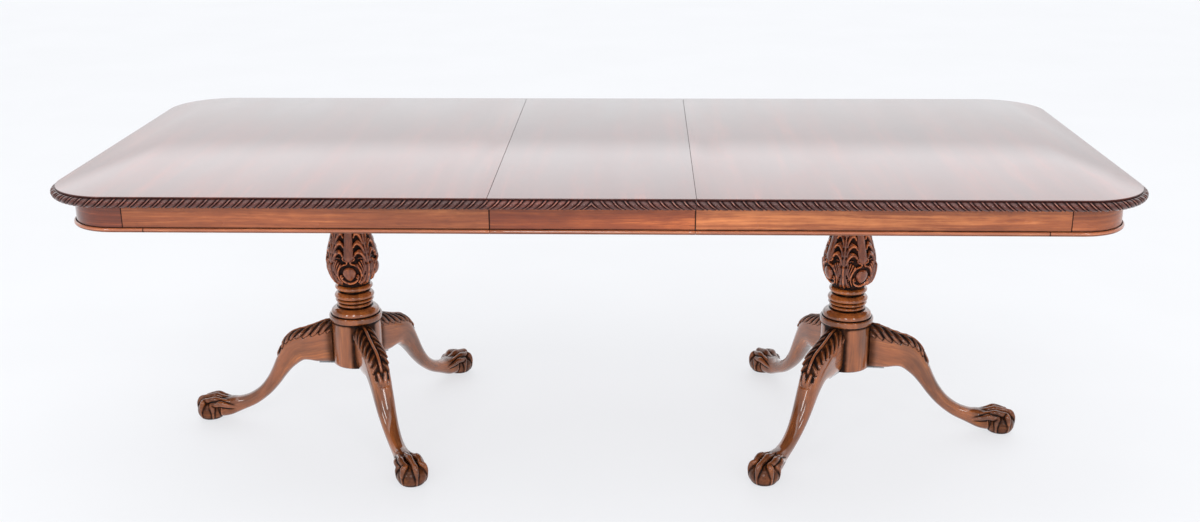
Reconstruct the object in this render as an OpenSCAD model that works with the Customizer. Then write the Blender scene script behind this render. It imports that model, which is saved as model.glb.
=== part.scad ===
// Double pedestal extending dining table: two half tops and one leaf on
// wooden equaliser slides, each half carried by a turned column on three
// cabriole legs with paw feet. Origin on the floor under the middle of the
// leaf, X along the table, Y from the front edge to the back edge, Z up.

/* [Overall] */
// Length of the table with the leaf in place
table_length = 2400; // [2200:10:2600]
// Width of the table top
table_width = 1066; // [1000:2:1120]
// Height of the top surface above the floor
table_height = 762; // [740:1:790]
// Length of the loose leaf along the table
leaf_length = 445; // [400:5:500]
// Corner radius of the table top
corner_radius = 148; // [120:1:180]
// Width of the joint line between a half top and the leaf
seam_gap = 0.6; // [0.4:0.1:1.2]

/* [Top and edge moulding] */
// Thickness of the top boards
top_thick = 20; // [18:1:26]
// Thickness of the plain lip above the gadroon moulding
lip_thick = 4; // [3:0.5:6]
// Height of the gadroon moulding
gadroon_height = 19; // [16:1:22]
// Depth of the rebate that the gadroon moulding sits in
gadroon_depth = 16; // [12:1:20]
// How far the gadroon moulding stands out past the plain lip
gadroon_projection = 7; // [0:1:8]
// How far the leaf's underside stays above the slide rails
leaf_clearance = 0.4; // [0.3:0.1:1]

/* [Apron] */
// Distance from the edge of the top to the outer face of the apron
apron_inset = 37; // [30:1:50]
// Thickness of the apron boards
apron_thick = 20; // [16:1:24]
// Visible height of the apron boards below the top boards
apron_height = 60; // [50:1:70]
// Height of the bead moulding under the apron
bead_height = 10; // [8:1:14]
// How far the bead stands out in front of the apron
bead_projection = 6; // [4:1:9]

/* [Slides] */
// Distance from the table's centreline to the middle of a centre rail
slide_y = 198; // [190:1:220]
// Width of a centre rail
rail_width = 27; // [26:1:30]
// Height of the slide rails
rail_height = 47.5; // [44:0.5:50]
// Gap between neighbouring rails
rail_gap = 0.5; // [0.4:0.1:0.8]
// Length of a centre rail
centre_rail_length = 960; // [900:10:1000]
// How far a half's rail reaches past the middle of the table
rail_reach = 265; // [250:5:280]
// Distance from the middle of the table to a rail's outer end
rail_outer_end = 600; // [560:10:640]
// Module of the pinion and the racks
gear_module = 3; // [3:0.5:3.5]
// Pressure angle of the pinion and the racks
pressure_angle = 25; // [22:1:25]
// Number of pinion teeth, an even number
pinion_teeth = 10; // [10:2:12]

/* [Pedestals] */
// Distance from the middle of the table to a pedestal's axis
pedestal_x = 635; // [600:5:680]
// Radius of the drum that the legs join
drum_radius = 64; // [60:1:70]
// Height of the underside of the drum
drum_low = 170; // [160:1:180]
// Distance from the column's axis to a leg's root face
leg_root = 60; // [58:1:62]
// Direction of the left pedestal's outer leg
left_turn = 178; // [170:0.5:190]
// Direction of the right pedestal's outer leg
right_turn = -4.4; // [-10:0.2:10]
// Height of the underside of the paws above the floor
paw_lift = 2; // [1.5:0.5:4]

/* [Hidden] */
$fn = 64;

mahogany = [0.42, 0.2, 0.12];
dark_mahogany = [0.27, 0.13, 0.09];
apron_mahogany = [0.5, 0.26, 0.16];
inner_wood = [0.72, 0.56, 0.38];
steel = [0.62, 0.62, 0.64];
brass = [0.78, 0.62, 0.3];
nylon = [0.85, 0.83, 0.78];

eps = 0.01;
half_length = table_length / 2;
half_width = table_width / 2;
corner_x = half_length - corner_radius;
corner_y = half_width - corner_radius;
half_seam = leaf_length / 2 + seam_gap / 2;
leaf_half = leaf_length / 2 - seam_gap / 2;
board_low = table_height - top_thick;
lip_low = table_height - lip_thick;
gadroon_low = lip_low - gadroon_height;
apron_low = board_low - apron_height;
bead_low = apron_low - bead_height;
bead_inset = apron_inset - bead_projection;
apron_back = apron_inset + apron_thick;

// Slide heights and widths
rail_low = board_low - rail_height;
centre_low = rail_low + rail_gap;
centre_high = board_low - rail_gap;
centre_side = rail_width / 2;
outer_side = rail_width - 1;
groove_depth = 9;
groove_low = rail_low + 16.5;
groove_height = 14;
tongue_depth = groove_depth + rail_gap - 0.8;
left_rail_y = slide_y + rail_width / 2 + rail_gap + outer_side / 2;
right_rail_y = slide_y - rail_width / 2 - rail_gap - outer_side / 2;
tie_x = 430;
tie_width = 50;
tie_thick = 10;
tie_foot_width = 22;

// Pinion and rack
pitch_radius = gear_module * pinion_teeth / 2;
addendum = 0.8 * gear_module;
dedendum = gear_module;
tooth_thinning = 0.25;
rack_thick = 10;
rack_back = 17;
pinion_thick = 8;
pinion_low = rail_low - rack_thick + 1;
pin_radius = 4;
running_gap = 0.06;
closed_teeth = 24;

// Fasteners
screw_radius = 2.2;
screw_head_radius = 4.5;
screw_head = 3;
screw_bottom = board_low - 31;
screw_tip = board_low + 9;
bore_gap = 0.1;
rail_screw_x = [250, 410, 570];
cleat_length = 300;
cleat_width = 280;
cleat_thick = 32;
cleat_low = board_low - cleat_thick;
cleat_screw_x = 125;
cleat_screw_y = 115;
tenon_radius = 25;
leaf_pin_radius = 4;
leaf_pin_z = board_low + 9;
leaf_pin_y = [-330, 0, 330];
leaf_pin_out = 12;
leaf_pin_in = 25;
plate_thick = 3;
plate_column_screw = 30;
plate_leg_screw = 88;
plate_screw_length = 26;
glide_radius = 11;
glide_place = 408;
dovetail_narrow = 9;
dovetail_wide = 13;
dovetail_deep = 18;
dovetail_high = 262;
bearer_x = 880;
bearer_width = 40;
bearer_height = 45;

// Half outlines of the top and of its mouldings

module half_plate(inset, low, high) {
    thick = high - low;
    translate([half_seam, -(half_width - inset), low])
        cube([corner_x - half_seam, 2 * (half_width - inset), thick]);
    translate([corner_x - 1, -corner_y, low])
        cube([corner_radius - inset + 1, 2 * corner_y, thick]);
    for (side = [-1, 1])
        translate([corner_x, side * corner_y, low])
            cylinder(r = corner_radius - inset, h = thick, $fn = 96);
}

// Straight length of moulding along the front edge, from x0 to x1;
// the child outline has x as the inset and y as the height
module front_run(x0, x1) {
    translate([x0, -half_width, 0])
        rotate([90, 0, 90])
            linear_extrude(height = x1 - x0)
                children();
}

module back_run(x0, x1) {
    mirror([0, 1, 0])
        front_run(x0, x1)
            children();
}

module front_corner_run() {
    translate([corner_x, -corner_y, 0])
        rotate([0, 0, -90])
            rotate_extrude(angle = 90, $fn = 96)
                translate([corner_radius, 0])
                    mirror([1, 0])
                        children();
}

module back_corner_run() {
    mirror([0, 1, 0])
        front_corner_run()
            children();
}

module end_run() {
    translate([half_length, corner_y, 0])
        rotate([90, 0, 0])
            linear_extrude(height = 2 * corner_y)
                mirror([1, 0])
                    children();
}

module gadroon_outline() {
    slope = 4;
    shoulder = 2;
    polygon([
        [shoulder / 2, lip_low],
        [shoulder - gadroon_projection, lip_low - slope],
        [-gadroon_projection, lip_low - gadroon_height / 2],
        [slope - gadroon_projection, gadroon_low + slope],
        [shoulder, gadroon_low],
        [gadroon_depth, gadroon_low],
        [gadroon_depth, lip_low]
    ]);
}

module apron_outline(high) {
    translate([apron_inset, apron_low])
        square([apron_thick, high - apron_low]);
}

module bead_outline() {
    nose = bead_height / 2;
    translate([bead_inset + nose, bead_low + nose])
        circle(r = nose, $fn = 32);
    translate([bead_inset + nose, bead_low])
        square([apron_back - bead_inset - nose, bead_height]);
}

// Top boards, mouldings and aprons

module half_board() {
    difference() {
        union() {
            half_plate(0, lip_low, table_height);
            half_plate(gadroon_depth, board_low, lip_low + eps);
        }
        for (y = leaf_pin_y)
            translate([half_seam - 1, y, leaf_pin_z])
                rotate([0, 90, 0])
                    cylinder(r = leaf_pin_radius + bore_gap, h = leaf_pin_in + 2);
        for (x = [-cleat_screw_x, cleat_screw_x], y = [-cleat_screw_y, cleat_screw_y])
            translate([pedestal_x + x, y, board_low - 1])
                screw_bore(screw_tip - board_low + 1.2);
    }
}

module screw_bore(depth) {
    cylinder(r = screw_radius + bore_gap, h = depth, $fn = 32);
}

module rail_screw_bores(rail_y) {
    for (x = rail_screw_x, side = [-1, 1])
        translate([x, side * rail_y, board_low - 1])
            screw_bore(screw_tip - board_low + 1.2);
}

module left_top() {
    color(mahogany)
        mirror([1, 0, 0])
            difference() {
                half_board();
                rail_screw_bores(left_rail_y);
            }
}

module right_top() {
    color(mahogany)
        difference() {
            half_board();
            rail_screw_bores(right_rail_y);
        }
}

module leaf_pin_slot() {
    radius = leaf_pin_radius + 0.5;
    depth = leaf_pin_out + 1;
    translate([leaf_half - depth, 0, leaf_pin_z])
        rotate([0, 90, 0])
            cylinder(r = radius, h = depth + 1);
    translate([leaf_half - depth, -radius, board_low - 1])
        cube([depth + 1, 2 * radius, leaf_pin_z - board_low + 1]);
}

module leaf_top() {
    low = board_low + leaf_clearance;
    inner = half_width - gadroon_depth;
    color(mahogany)
        difference() {
            union() {
                translate([-leaf_half, -half_width, lip_low])
                    cube([2 * leaf_half, table_width, lip_thick]);
                translate([-leaf_half, -inner, low])
                    cube([2 * leaf_half, 2 * inner, lip_low - low + eps]);
            }
            for (y = leaf_pin_y, side = [0, 1])
                mirror([side, 0, 0])
                    translate([0, y, 0])
                        leaf_pin_slot();
        }
}

module half_gadroon() {
    front_run(half_seam, corner_x) gadroon_outline();
    front_corner_run() gadroon_outline();
    end_run() gadroon_outline();
    back_corner_run() gadroon_outline();
    back_run(half_seam, corner_x) gadroon_outline();
}

module left_gadroon() {
    color(dark_mahogany)
        mirror([1, 0, 0])
            half_gadroon();
}

module right_gadroon() {
    color(dark_mahogany)
        half_gadroon();
}

module leaf_gadroon() {
    color(dark_mahogany) {
        front_run(-leaf_half, leaf_half) gadroon_outline();
        back_run(-leaf_half, leaf_half) gadroon_outline();
    }
}

module half_front_apron() {
    front_run(half_seam, corner_x) apron_outline(board_low);
}

module half_end_apron() {
    end_run() apron_outline(board_low);
}

module half_corner_apron() {
    front_corner_run() apron_outline(board_low);
}

module left_front_apron() {
    color(apron_mahogany) mirror([1, 0, 0]) half_front_apron();
}

module left_back_apron() {
    color(apron_mahogany) mirror([1, 0, 0]) mirror([0, 1, 0]) half_front_apron();
}

module left_end_apron() {
    color(apron_mahogany) mirror([1, 0, 0]) half_end_apron();
}

module left_front_corner_apron() {
    color(apron_mahogany) mirror([1, 0, 0]) half_corner_apron();
}

module left_back_corner_apron() {
    color(apron_mahogany) mirror([1, 0, 0]) mirror([0, 1, 0]) half_corner_apron();
}

module right_front_apron() {
    color(apron_mahogany) half_front_apron();
}

module right_back_apron() {
    color(apron_mahogany) mirror([0, 1, 0]) half_front_apron();
}

module right_end_apron() {
    color(apron_mahogany) half_end_apron();
}

module right_front_corner_apron() {
    color(apron_mahogany) half_corner_apron();
}

module right_back_corner_apron() {
    color(apron_mahogany) mirror([0, 1, 0]) half_corner_apron();
}

module leaf_front_apron() {
    color(apron_mahogany)
        front_run(-leaf_half, leaf_half) apron_outline(board_low + leaf_clearance);
}

module leaf_back_apron() {
    color(apron_mahogany)
        back_run(-leaf_half, leaf_half) apron_outline(board_low + leaf_clearance);
}

module half_bead() {
    front_run(half_seam, corner_x) bead_outline();
    front_corner_run() bead_outline();
    end_run() bead_outline();
    back_corner_run() bead_outline();
    back_run(half_seam, corner_x) bead_outline();
}

module left_bead() {
    color(apron_mahogany) mirror([1, 0, 0]) half_bead();
}

module right_bead() {
    color(apron_mahogany) half_bead();
}

module leaf_bead() {
    color(apron_mahogany) {
        front_run(-leaf_half, leaf_half) bead_outline();
        back_run(-leaf_half, leaf_half) bead_outline();
    }
}

// Equaliser slides, modelled on the back side and mirrored to the front

module half_rail(rail_y, tongue_side) {
    length = rail_reach + rail_outer_end;
    difference() {
        union() {
            translate([-rail_reach, rail_y - outer_side / 2, rail_low])
                cube([length, outer_side, rail_height]);
            translate([-rail_reach, rail_y, groove_low + rail_gap])
                facing(tongue_side)
                    cube([length, outer_side / 2 + tongue_depth, groove_height - 2 * rail_gap]);
        }
        for (x = rail_screw_x)
            translate([x, rail_y, rail_low - 1]) {
                cylinder(r = screw_head_radius + 0.5, h = screw_bottom + screw_head - rail_low + 1);
                screw_bore(rail_height + 2);
            }
    }
}

module facing(side) {
    mirror([0, side < 0 ? 1 : 0, 0])
        children();
}

module left_back_rail() {
    color(inner_wood) mirror([1, 0, 0]) half_rail(left_rail_y, -1);
}

module left_front_rail() {
    color(inner_wood) mirror([1, 0, 0]) mirror([0, 1, 0]) half_rail(left_rail_y, -1);
}

module right_back_rail() {
    color(inner_wood) half_rail(right_rail_y, 1);
}

module right_front_rail() {
    color(inner_wood) mirror([0, 1, 0]) half_rail(right_rail_y, 1);
}

module centre_rail() {
    height = centre_high - centre_low;
    difference() {
        translate([-centre_rail_length / 2, slide_y - centre_side, centre_low])
            cube([centre_rail_length, rail_width, height]);
        for (side = [-1, 1])
            translate([
                -centre_rail_length / 2 - 1,
                slide_y + side * (centre_side - groove_depth / 2 + 0.5) - groove_depth / 2 - 0.5,
                groove_low
            ])
                cube([centre_rail_length + 2, groove_depth + 1, groove_height]);
        translate([0, slide_y, centre_low - 1])
            cylinder(r = pin_radius + bore_gap, h = groove_low - 2 - centre_low);
    }
}

module centre_back_rail() {
    color(inner_wood) centre_rail();
}

module centre_front_rail() {
    color(inner_wood) mirror([0, 1, 0]) centre_rail();
}

// Crosspiece that passes under the racks, with a foot up to each centre rail
module centre_tie() {
    reach = slide_y + centre_side;
    tie_high = rail_low - rack_thick - 2 * rail_gap;
    translate([tie_x - tie_width / 2, -reach, tie_high - tie_thick])
        cube([tie_width, 2 * reach, tie_thick]);
    for (side = [-1, 1])
        translate([tie_x - tie_width / 2, side * slide_y - tie_foot_width / 2, tie_high - eps])
            cube([tie_width, tie_foot_width, centre_low - tie_high + eps]);
}

module left_tie() {
    color(inner_wood) mirror([1, 0, 0]) centre_tie();
}

module right_tie() {
    color(inner_wood) centre_tie();
}

// Rack profile with teeth pointing along -Y from a pitch line at y = 0,
// with a tooth space centred on x = 0
module rack_profile(low_count, high_count) {
    pitch = PI * gear_module;
    flank = tan(pressure_angle);
    half_tooth = (pitch / 2 - tooth_thinning) / 2;
    tip = half_tooth - addendum * flank;
    root = half_tooth + dedendum * flank;
    teeth = [
        for (i = [low_count : high_count])
            let (x = (i + 0.5) * pitch)
                each [
                    [x - root, dedendum],
                    [x - tip, -addendum],
                    [x + tip, -addendum],
                    [x + root, dedendum]
                ]
    ];
    first = (low_count + 0.5) * pitch - pitch / 2;
    last = (high_count + 0.5) * pitch + pitch / 2;
    polygon(concat(
        [[first, rack_back], [first, dedendum]],
        teeth,
        [[last, dedendum], [last, rack_back]]
    ));
}

module half_rack(side, toward) {
    pitch = PI * gear_module;
    count = floor((rail_reach - gear_module) / pitch);
    translate([0, slide_y + side * pitch_radius, rail_low - rack_thick])
        mirror([0, side < 0 ? 1 : 0, 0])
            linear_extrude(height = rack_thick)
                rack_profile(-count, toward - 1);
}

module left_back_rack() {
    color(inner_wood) mirror([1, 0, 0]) half_rack(1, closed_teeth);
}

module left_front_rack() {
    color(inner_wood) mirror([1, 0, 0]) mirror([0, 1, 0]) half_rack(1, closed_teeth);
}

module right_back_rack() {
    color(inner_wood) half_rack(-1, closed_teeth);
}

module right_front_rack() {
    color(inner_wood) mirror([0, 1, 0]) half_rack(-1, closed_teeth);
}

// Involute pinion with a tooth centred on +Y
module pinion_profile() {
    base = pitch_radius * cos(pressure_angle);
    outer = pitch_radius + addendum;
    root = pitch_radius - dedendum;
    steps = 8;
    inv_pitch = tan(pressure_angle) * 180 / PI - pressure_angle;
    half_angle = 90 / pinion_teeth - (tooth_thinning / 2) / pitch_radius * 180 / PI;
    flank = [
        for (i = [0 : steps])
            let (
                radius = base + (outer - base) * i / steps,
                roll = acos(base / radius),
                inv = tan(roll) * 180 / PI - roll
            )
                [radius, half_angle + inv_pitch - inv]
    ];
    foot = [[root, flank[0][1] + 2]];
    side = concat(foot, flank);
    points = [
        for (tooth = [0 : pinion_teeth - 1])
            let (mid = 90 + tooth * 360 / pinion_teeth)
                each concat(
                    [for (p = side) p[0] * [cos(mid - p[1]), sin(mid - p[1])]],
                    [for (i = [len(side) - 1 : -1 : 0])
                        side[i][0] * [cos(mid + side[i][1]), sin(mid + side[i][1])]]
                )
    ];
    polygon(points);
}

module pinion() {
    translate([0, slide_y, pinion_low])
        difference() {
            linear_extrude(height = pinion_thick)
                pinion_profile();
            translate([0, 0, -1])
                cylinder(r = pin_radius + running_gap, h = pinion_thick + 2);
        }
}

module back_pinion() {
    color(nylon) pinion();
}

module front_pinion() {
    color(nylon) mirror([0, 1, 0]) pinion();
}

module pinion_pins() {
    head_radius = 7;
    head = 2.5;
    color(steel)
        for (side = [-1, 1])
            translate([0, side * slide_y, pinion_low - 0.5]) {
                translate([0, 0, -head])
                    cylinder(r = head_radius, h = head);
                translate([0, 0, -eps])
                    cylinder(r = pin_radius, h = groove_low - 4 - pinion_low);
            }
}

// Bearers and pedestal cleats under the half tops

module bearer() {
    inner = half_width - apron_back;
    translate([bearer_x - bearer_width / 2, -inner, board_low - bearer_height])
        cube([bearer_width, 2 * inner, bearer_height]);
}

module left_bearer() {
    color(inner_wood) mirror([1, 0, 0]) bearer();
}

module right_bearer() {
    color(inner_wood) bearer();
}

module cleat() {
    difference() {
        translate([pedestal_x - cleat_length / 2, -cleat_width / 2, cleat_low])
            cube([cleat_length, cleat_width, cleat_thick]);
        translate([pedestal_x, 0, cleat_low - 1])
            cylinder(r = tenon_radius + bore_gap, h = cleat_thick + 2);
        for (x = [-cleat_screw_x, cleat_screw_x], y = [-cleat_screw_y, cleat_screw_y])
            translate([pedestal_x + x, y, cleat_low - 1]) {
                cylinder(r = screw_head_radius + 0.5, h = screw_bottom + screw_head - cleat_low + 1);
                screw_bore(cleat_thick + 2);
            }
    }
}

module left_cleat() {
    color(inner_wood) mirror([1, 0, 0]) cleat();
}

module right_cleat() {
    color(inner_wood) cleat();
}

// Turned column: half profile as radius and height, from the drum up

function arc_points(z0, z1, radius, bulge, count = 8) = [
    for (i = [0 : count])
        let (t = 180 * i / count)
            [radius + bulge * sin(t), (z0 + z1) / 2 - (z1 - z0) / 2 * cos(t)]
];

function spline(list, i, t) =
    let (
        a = list[max(i - 1, 0)],
        b = list[i],
        c = list[min(i + 1, len(list) - 1)],
        d = list[min(i + 2, len(list) - 1)]
    )
        0.5 * (2 * b + (c - a) * t + (2 * a - 5 * b + 4 * c - d) * t * t
            + (3 * b - a - 3 * c + d) * t * t * t);

function smooth(list, steps) = [
    for (i = [0 : len(list) - 2], k = [0 : steps - 1])
        spline(list, i, k / steps),
    list[len(list) - 1]
];

collar = [
    [drum_radius, 283], [66, 287], [69, 288], [69, 297.5], [67.5, 299],
    [62, 301], [59, 305], [57, 311], [52, 316.5], [46, 319.5], [44, 321]
];
low_bead = arc_points(323, 337, 44, 3.2);
middle_bead = arc_points(339, 352.5, 44.5, 3.5);
ovolo = [[45, 354], [48, 356.5], [48.5, 359], [46, 364], [41.5, 370], [41, 373]];
ring_bead = arc_points(375, 390, 42, 5);
vase = [
    [42, 392], [49, 397], [56, 408], [61.5, 421], [64.8, 437], [65.5, 452],
    [64, 467], [60.5, 483], [56, 499], [51.5, 515], [47.5, 531], [44, 549],
    [41.5, 568], [40.5, 588], [40.5, 598]
];
top_bead = arc_points(600, 614, 41, 6);
cap = [[42, 617], [43, 632], [48, 652], [56, 670], [60, 682], [60, cleat_low]];

module column_solid() {
    profile = concat(
        [[0, drum_low], [drum_radius - 1.5, drum_low], [drum_radius, drum_low + 1.5]],
        collar, low_bead, middle_bead, ovolo, ring_bead,
        smooth(vase, 3), top_bead, smooth(cap, 3),
        [[0, cleat_low]]
    );
    rotate_extrude($fn = 96)
        polygon(profile);
    translate([0, 0, cleat_low - 1])
        cylinder(r = tenon_radius, h = cleat_thick);
}

module dovetail(extra) {
    translate([0, 0, drum_low - extra])
        linear_extrude(height = dovetail_high - drum_low + extra)
            polygon([
                [leg_root + 2, -dovetail_narrow],
                [leg_root + 2, dovetail_narrow],
                [leg_root, dovetail_narrow],
                [leg_root - dovetail_deep, dovetail_wide],
                [leg_root - dovetail_deep, -dovetail_wide],
                [leg_root, -dovetail_narrow]
            ]);
}

module column(turn) {
    seat = leg_width_at_root / 2 + 0.5;
    difference() {
        column_solid();
        for (k = [0 : 2])
            rotate([0, 0, turn + 120 * k]) {
                translate([leg_root, -seat, drum_low - 1])
                    cube([drum_radius, 2 * seat, leg_top_at_root + 2 - drum_low]);
                dovetail(1);
                rotate([0, 0, 60])
                    translate([plate_column_screw, 0, drum_low - 1])
                        screw_bore(plate_screw_length);
            }
    }
}

module left_column() {
    color(mahogany)
        translate([-pedestal_x, 0, 0])
            column(left_turn);
}

module right_column() {
    color(mahogany)
        translate([pedestal_x, 0, 0])
            column(right_turn);
}

// Cabriole leg: each station holds the top point and the bottom point of a
// section (distance from the column's axis, height), the width across it and
// the squareness of its corners

leg_width_at_root = 52;
leg_top_at_root = 285;
leg_stations = [
    [leg_root, leg_top_at_root, leg_root, drum_low, leg_width_at_root, 3.4],
    [84, 280, 84, drum_low, 53, 3.4],
    [108, 270, 107, drum_low, 54, 3.4],
    [138, 259, 126, 173, 55, 3.2],
    [168, 249, 139, 173, 54, 3],
    [190, 230, 149, 169, 51, 2.8],
    [205, 204, 162, 160, 47, 2.6],
    [218, 177, 177, 147, 43, 2.4],
    [232, 147, 195, 126, 39, 2.3],
    [248, 119, 216, 99, 36, 2.2],
    [270, 92, 243, 70, 34, 2.2],
    [298, 72, 280, 42, 35, 2.2],
    [328, 63, 318, 24, 40, 2.3],
    [358, 63, 352, 8, 54, 2.5],
    [386, 68, 382, paw_lift, 70, 2.8],
    [412, 68, 412, paw_lift, 76, 2.8],
    [432, 58, 436, paw_lift, 70, 2.6],
    [446, 40, 448, 10, 50, 2.4],
    [451, 32, 451, 18, 24, 2.2]
];
leg_steps = 2;
leg_sides = 16;

function sign_power(value, power) = sign(value) * pow(abs(value), power);

function leg_ring(station) =
    let (
        top = [station[0], 0, station[1]],
        bottom = [station[2], 0, station[3]],
        centre = (top + bottom) / 2,
        half_height = (top - bottom) / 2,
        half_across = [0, station[4] / 2, 0],
        power = 2 / station[5]
    )
        [for (k = [0 : leg_sides - 1])
            let (angle = 360 * (k + 0.5) / leg_sides)
                centre + half_across * sign_power(cos(angle), power)
                    + half_height * sign_power(sin(angle), power)];

module leg_body() {
    rings = [for (station = smooth(leg_stations, leg_steps)) leg_ring(station)];
    count = len(rings);
    points = [for (ring = rings) each ring];
    skin = [
        for (i = [0 : count - 2], k = [0 : leg_sides - 1])
            let (
                a = i * leg_sides + k,
                b = i * leg_sides + (k + 1) % leg_sides
            )
                each [[a, a + leg_sides, b], [b, a + leg_sides, b + leg_sides]]
    ];
    root_cap = [[for (k = [0 : leg_sides - 1]) k]];
    toe_cap = [[for (k = [leg_sides - 1 : -1 : 0]) (count - 1) * leg_sides + k]];
    polyhedron(points, concat(skin, root_cap, toe_cap));
}

module leg() {
    difference() {
        union() {
            leg_body();
            dovetail(0);
        }
        translate([plate_leg_screw, 0, drum_low - 1])
            screw_bore(plate_screw_length);
    }
}

module place_leg(side, turn) {
    color(mahogany)
        translate([side * pedestal_x, 0, 0])
            rotate([0, 0, turn])
                leg();
}

module left_outer_leg() {
    place_leg(-1, left_turn);
}

module left_back_leg() {
    place_leg(-1, left_turn - 120);
}

module left_front_leg() {
    place_leg(-1, left_turn + 120);
}

module right_outer_leg() {
    place_leg(1, right_turn);
}

module right_back_leg() {
    place_leg(1, right_turn + 120);
}

module right_front_leg() {
    place_leg(1, right_turn - 120);
}

// Three-armed iron plate that ties the legs to the column from below

module leg_plate(turn) {
    hole = screw_radius + 0.3;
    arm_length = 102;
    arm_width = 24;
    rotate([0, 0, turn])
        translate([0, 0, drum_low - plate_thick])
            difference() {
                union() {
                    cylinder(r = 44, h = plate_thick);
                    for (k = [0 : 2])
                        rotate([0, 0, 120 * k])
                            translate([0, -arm_width / 2, 0])
                                cube([arm_length, arm_width, plate_thick]);
                }
                for (k = [0 : 2])
                    rotate([0, 0, 120 * k]) {
                        translate([plate_leg_screw, 0, -1])
                            cylinder(r = hole, h = plate_thick + 2, $fn = 32);
                        rotate([0, 0, 60])
                            translate([plate_column_screw, 0, -1])
                                cylinder(r = hole, h = plate_thick + 2, $fn = 32);
                    }
            }
}

module left_leg_plate() {
    color(steel)
        translate([-pedestal_x, 0, 0])
            leg_plate(left_turn);
}

module right_leg_plate() {
    color(steel)
        translate([pedestal_x, 0, 0])
            leg_plate(right_turn);
}

module round_screw(bottom, tip) {
    translate([0, 0, bottom])
        cylinder(r = screw_head_radius, h = screw_head, $fn = 32);
    translate([0, 0, bottom + screw_head - eps])
        cylinder(r = screw_radius, h = tip - bottom - screw_head + eps, $fn = 32);
}

module plate_screws(turn) {
    bottom = drum_low - plate_thick - screw_head;
    tip = drum_low + plate_screw_length - 3;
    for (k = [0 : 2])
        rotate([0, 0, turn + 120 * k]) {
            translate([plate_leg_screw, 0, 0])
                round_screw(bottom, tip);
            rotate([0, 0, 60])
                translate([plate_column_screw, 0, 0])
                    round_screw(bottom, tip);
        }
}

module left_plate_screws() {
    color(steel)
        translate([-pedestal_x, 0, 0])
            plate_screws(left_turn);
}

module right_plate_screws() {
    color(steel)
        translate([pedestal_x, 0, 0])
            plate_screws(right_turn);
}

module glides(turn) {
    for (k = [0 : 2])
        rotate([0, 0, turn + 120 * k])
            translate([glide_place, 0, 0])
                cylinder(r = glide_radius, h = paw_lift);
}

module left_glides() {
    color(nylon)
        translate([-pedestal_x, 0, 0])
            glides(left_turn);
}

module right_glides() {
    color(nylon)
        translate([pedestal_x, 0, 0])
            glides(right_turn);
}

// Screws that hold the rails and the pedestal cleat to a half top

module top_screws(rail_y) {
    for (x = rail_screw_x, side = [-1, 1])
        translate([x, side * rail_y, 0])
            round_screw(screw_bottom, screw_tip);
    for (x = [-cleat_screw_x, cleat_screw_x], y = [-cleat_screw_y, cleat_screw_y])
        translate([pedestal_x + x, y, 0])
            round_screw(screw_bottom, screw_tip);
}

module left_screws() {
    color(steel) mirror([1, 0, 0]) top_screws(left_rail_y);
}

module right_screws() {
    color(steel) top_screws(right_rail_y);
}

module leaf_pins() {
    for (y = leaf_pin_y)
        translate([half_seam - leaf_pin_out, y, leaf_pin_z])
            rotate([0, 90, 0])
                cylinder(r = leaf_pin_radius, h = leaf_pin_out + leaf_pin_in);
}

module left_leaf_pins() {
    color(brass) mirror([1, 0, 0]) leaf_pins();
}

module right_leaf_pins() {
    color(brass) leaf_pins();
}

left_top();
right_top();
leaf_top();
left_gadroon();
right_gadroon();
leaf_gadroon();
left_front_apron();
left_back_apron();
left_end_apron();
left_front_corner_apron();
left_back_corner_apron();
right_front_apron();
right_back_apron();
right_end_apron();
right_front_corner_apron();
right_back_corner_apron();
leaf_front_apron();
leaf_back_apron();
left_bead();
right_bead();
leaf_bead();
left_front_rail();
left_back_rail();
right_front_rail();
right_back_rail();
centre_front_rail();
centre_back_rail();
left_tie();
right_tie();
left_front_rack();
left_back_rack();
right_front_rack();
right_back_rack();
front_pinion();
back_pinion();
pinion_pins();
left_bearer();
right_bearer();
left_cleat();
right_cleat();
left_column();
right_column();
left_outer_leg();
left_back_leg();
left_front_leg();
right_outer_leg();
right_back_leg();
right_front_leg();
left_leg_plate();
right_leg_plate();
left_plate_screws();
right_plate_screws();
left_glides();
right_glides();
left_screws();
right_screws();
left_leaf_pins();
right_leaf_pins();
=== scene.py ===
"""Double pedestal extending dining table: the looks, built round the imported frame.

Lengths in the shape functions are in millimetres and are scaled to metres as each mesh is made.
"""
import math

import bpy
import numpy as np
from mathutils import Matrix, Vector


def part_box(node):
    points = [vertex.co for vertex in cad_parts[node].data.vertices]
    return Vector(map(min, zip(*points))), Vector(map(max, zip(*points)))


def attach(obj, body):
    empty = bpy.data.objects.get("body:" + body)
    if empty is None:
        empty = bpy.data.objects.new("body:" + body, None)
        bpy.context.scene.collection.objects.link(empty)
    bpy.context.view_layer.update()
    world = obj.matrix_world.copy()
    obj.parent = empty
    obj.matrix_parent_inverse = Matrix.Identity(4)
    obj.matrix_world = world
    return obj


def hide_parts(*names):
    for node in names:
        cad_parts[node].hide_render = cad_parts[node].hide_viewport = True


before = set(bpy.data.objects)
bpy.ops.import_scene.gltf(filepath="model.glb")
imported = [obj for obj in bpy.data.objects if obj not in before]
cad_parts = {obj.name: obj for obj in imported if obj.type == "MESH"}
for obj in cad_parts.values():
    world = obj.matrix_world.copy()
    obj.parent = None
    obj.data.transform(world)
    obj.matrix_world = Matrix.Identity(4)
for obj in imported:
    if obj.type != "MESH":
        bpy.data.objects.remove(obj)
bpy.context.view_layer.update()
MM = 0.001


def bound(node, corner, axis):
    """One coordinate, in mm, of a node's lowest (0) or highest (1) corner."""
    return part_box(node)[corner][axis] / MM


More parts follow.
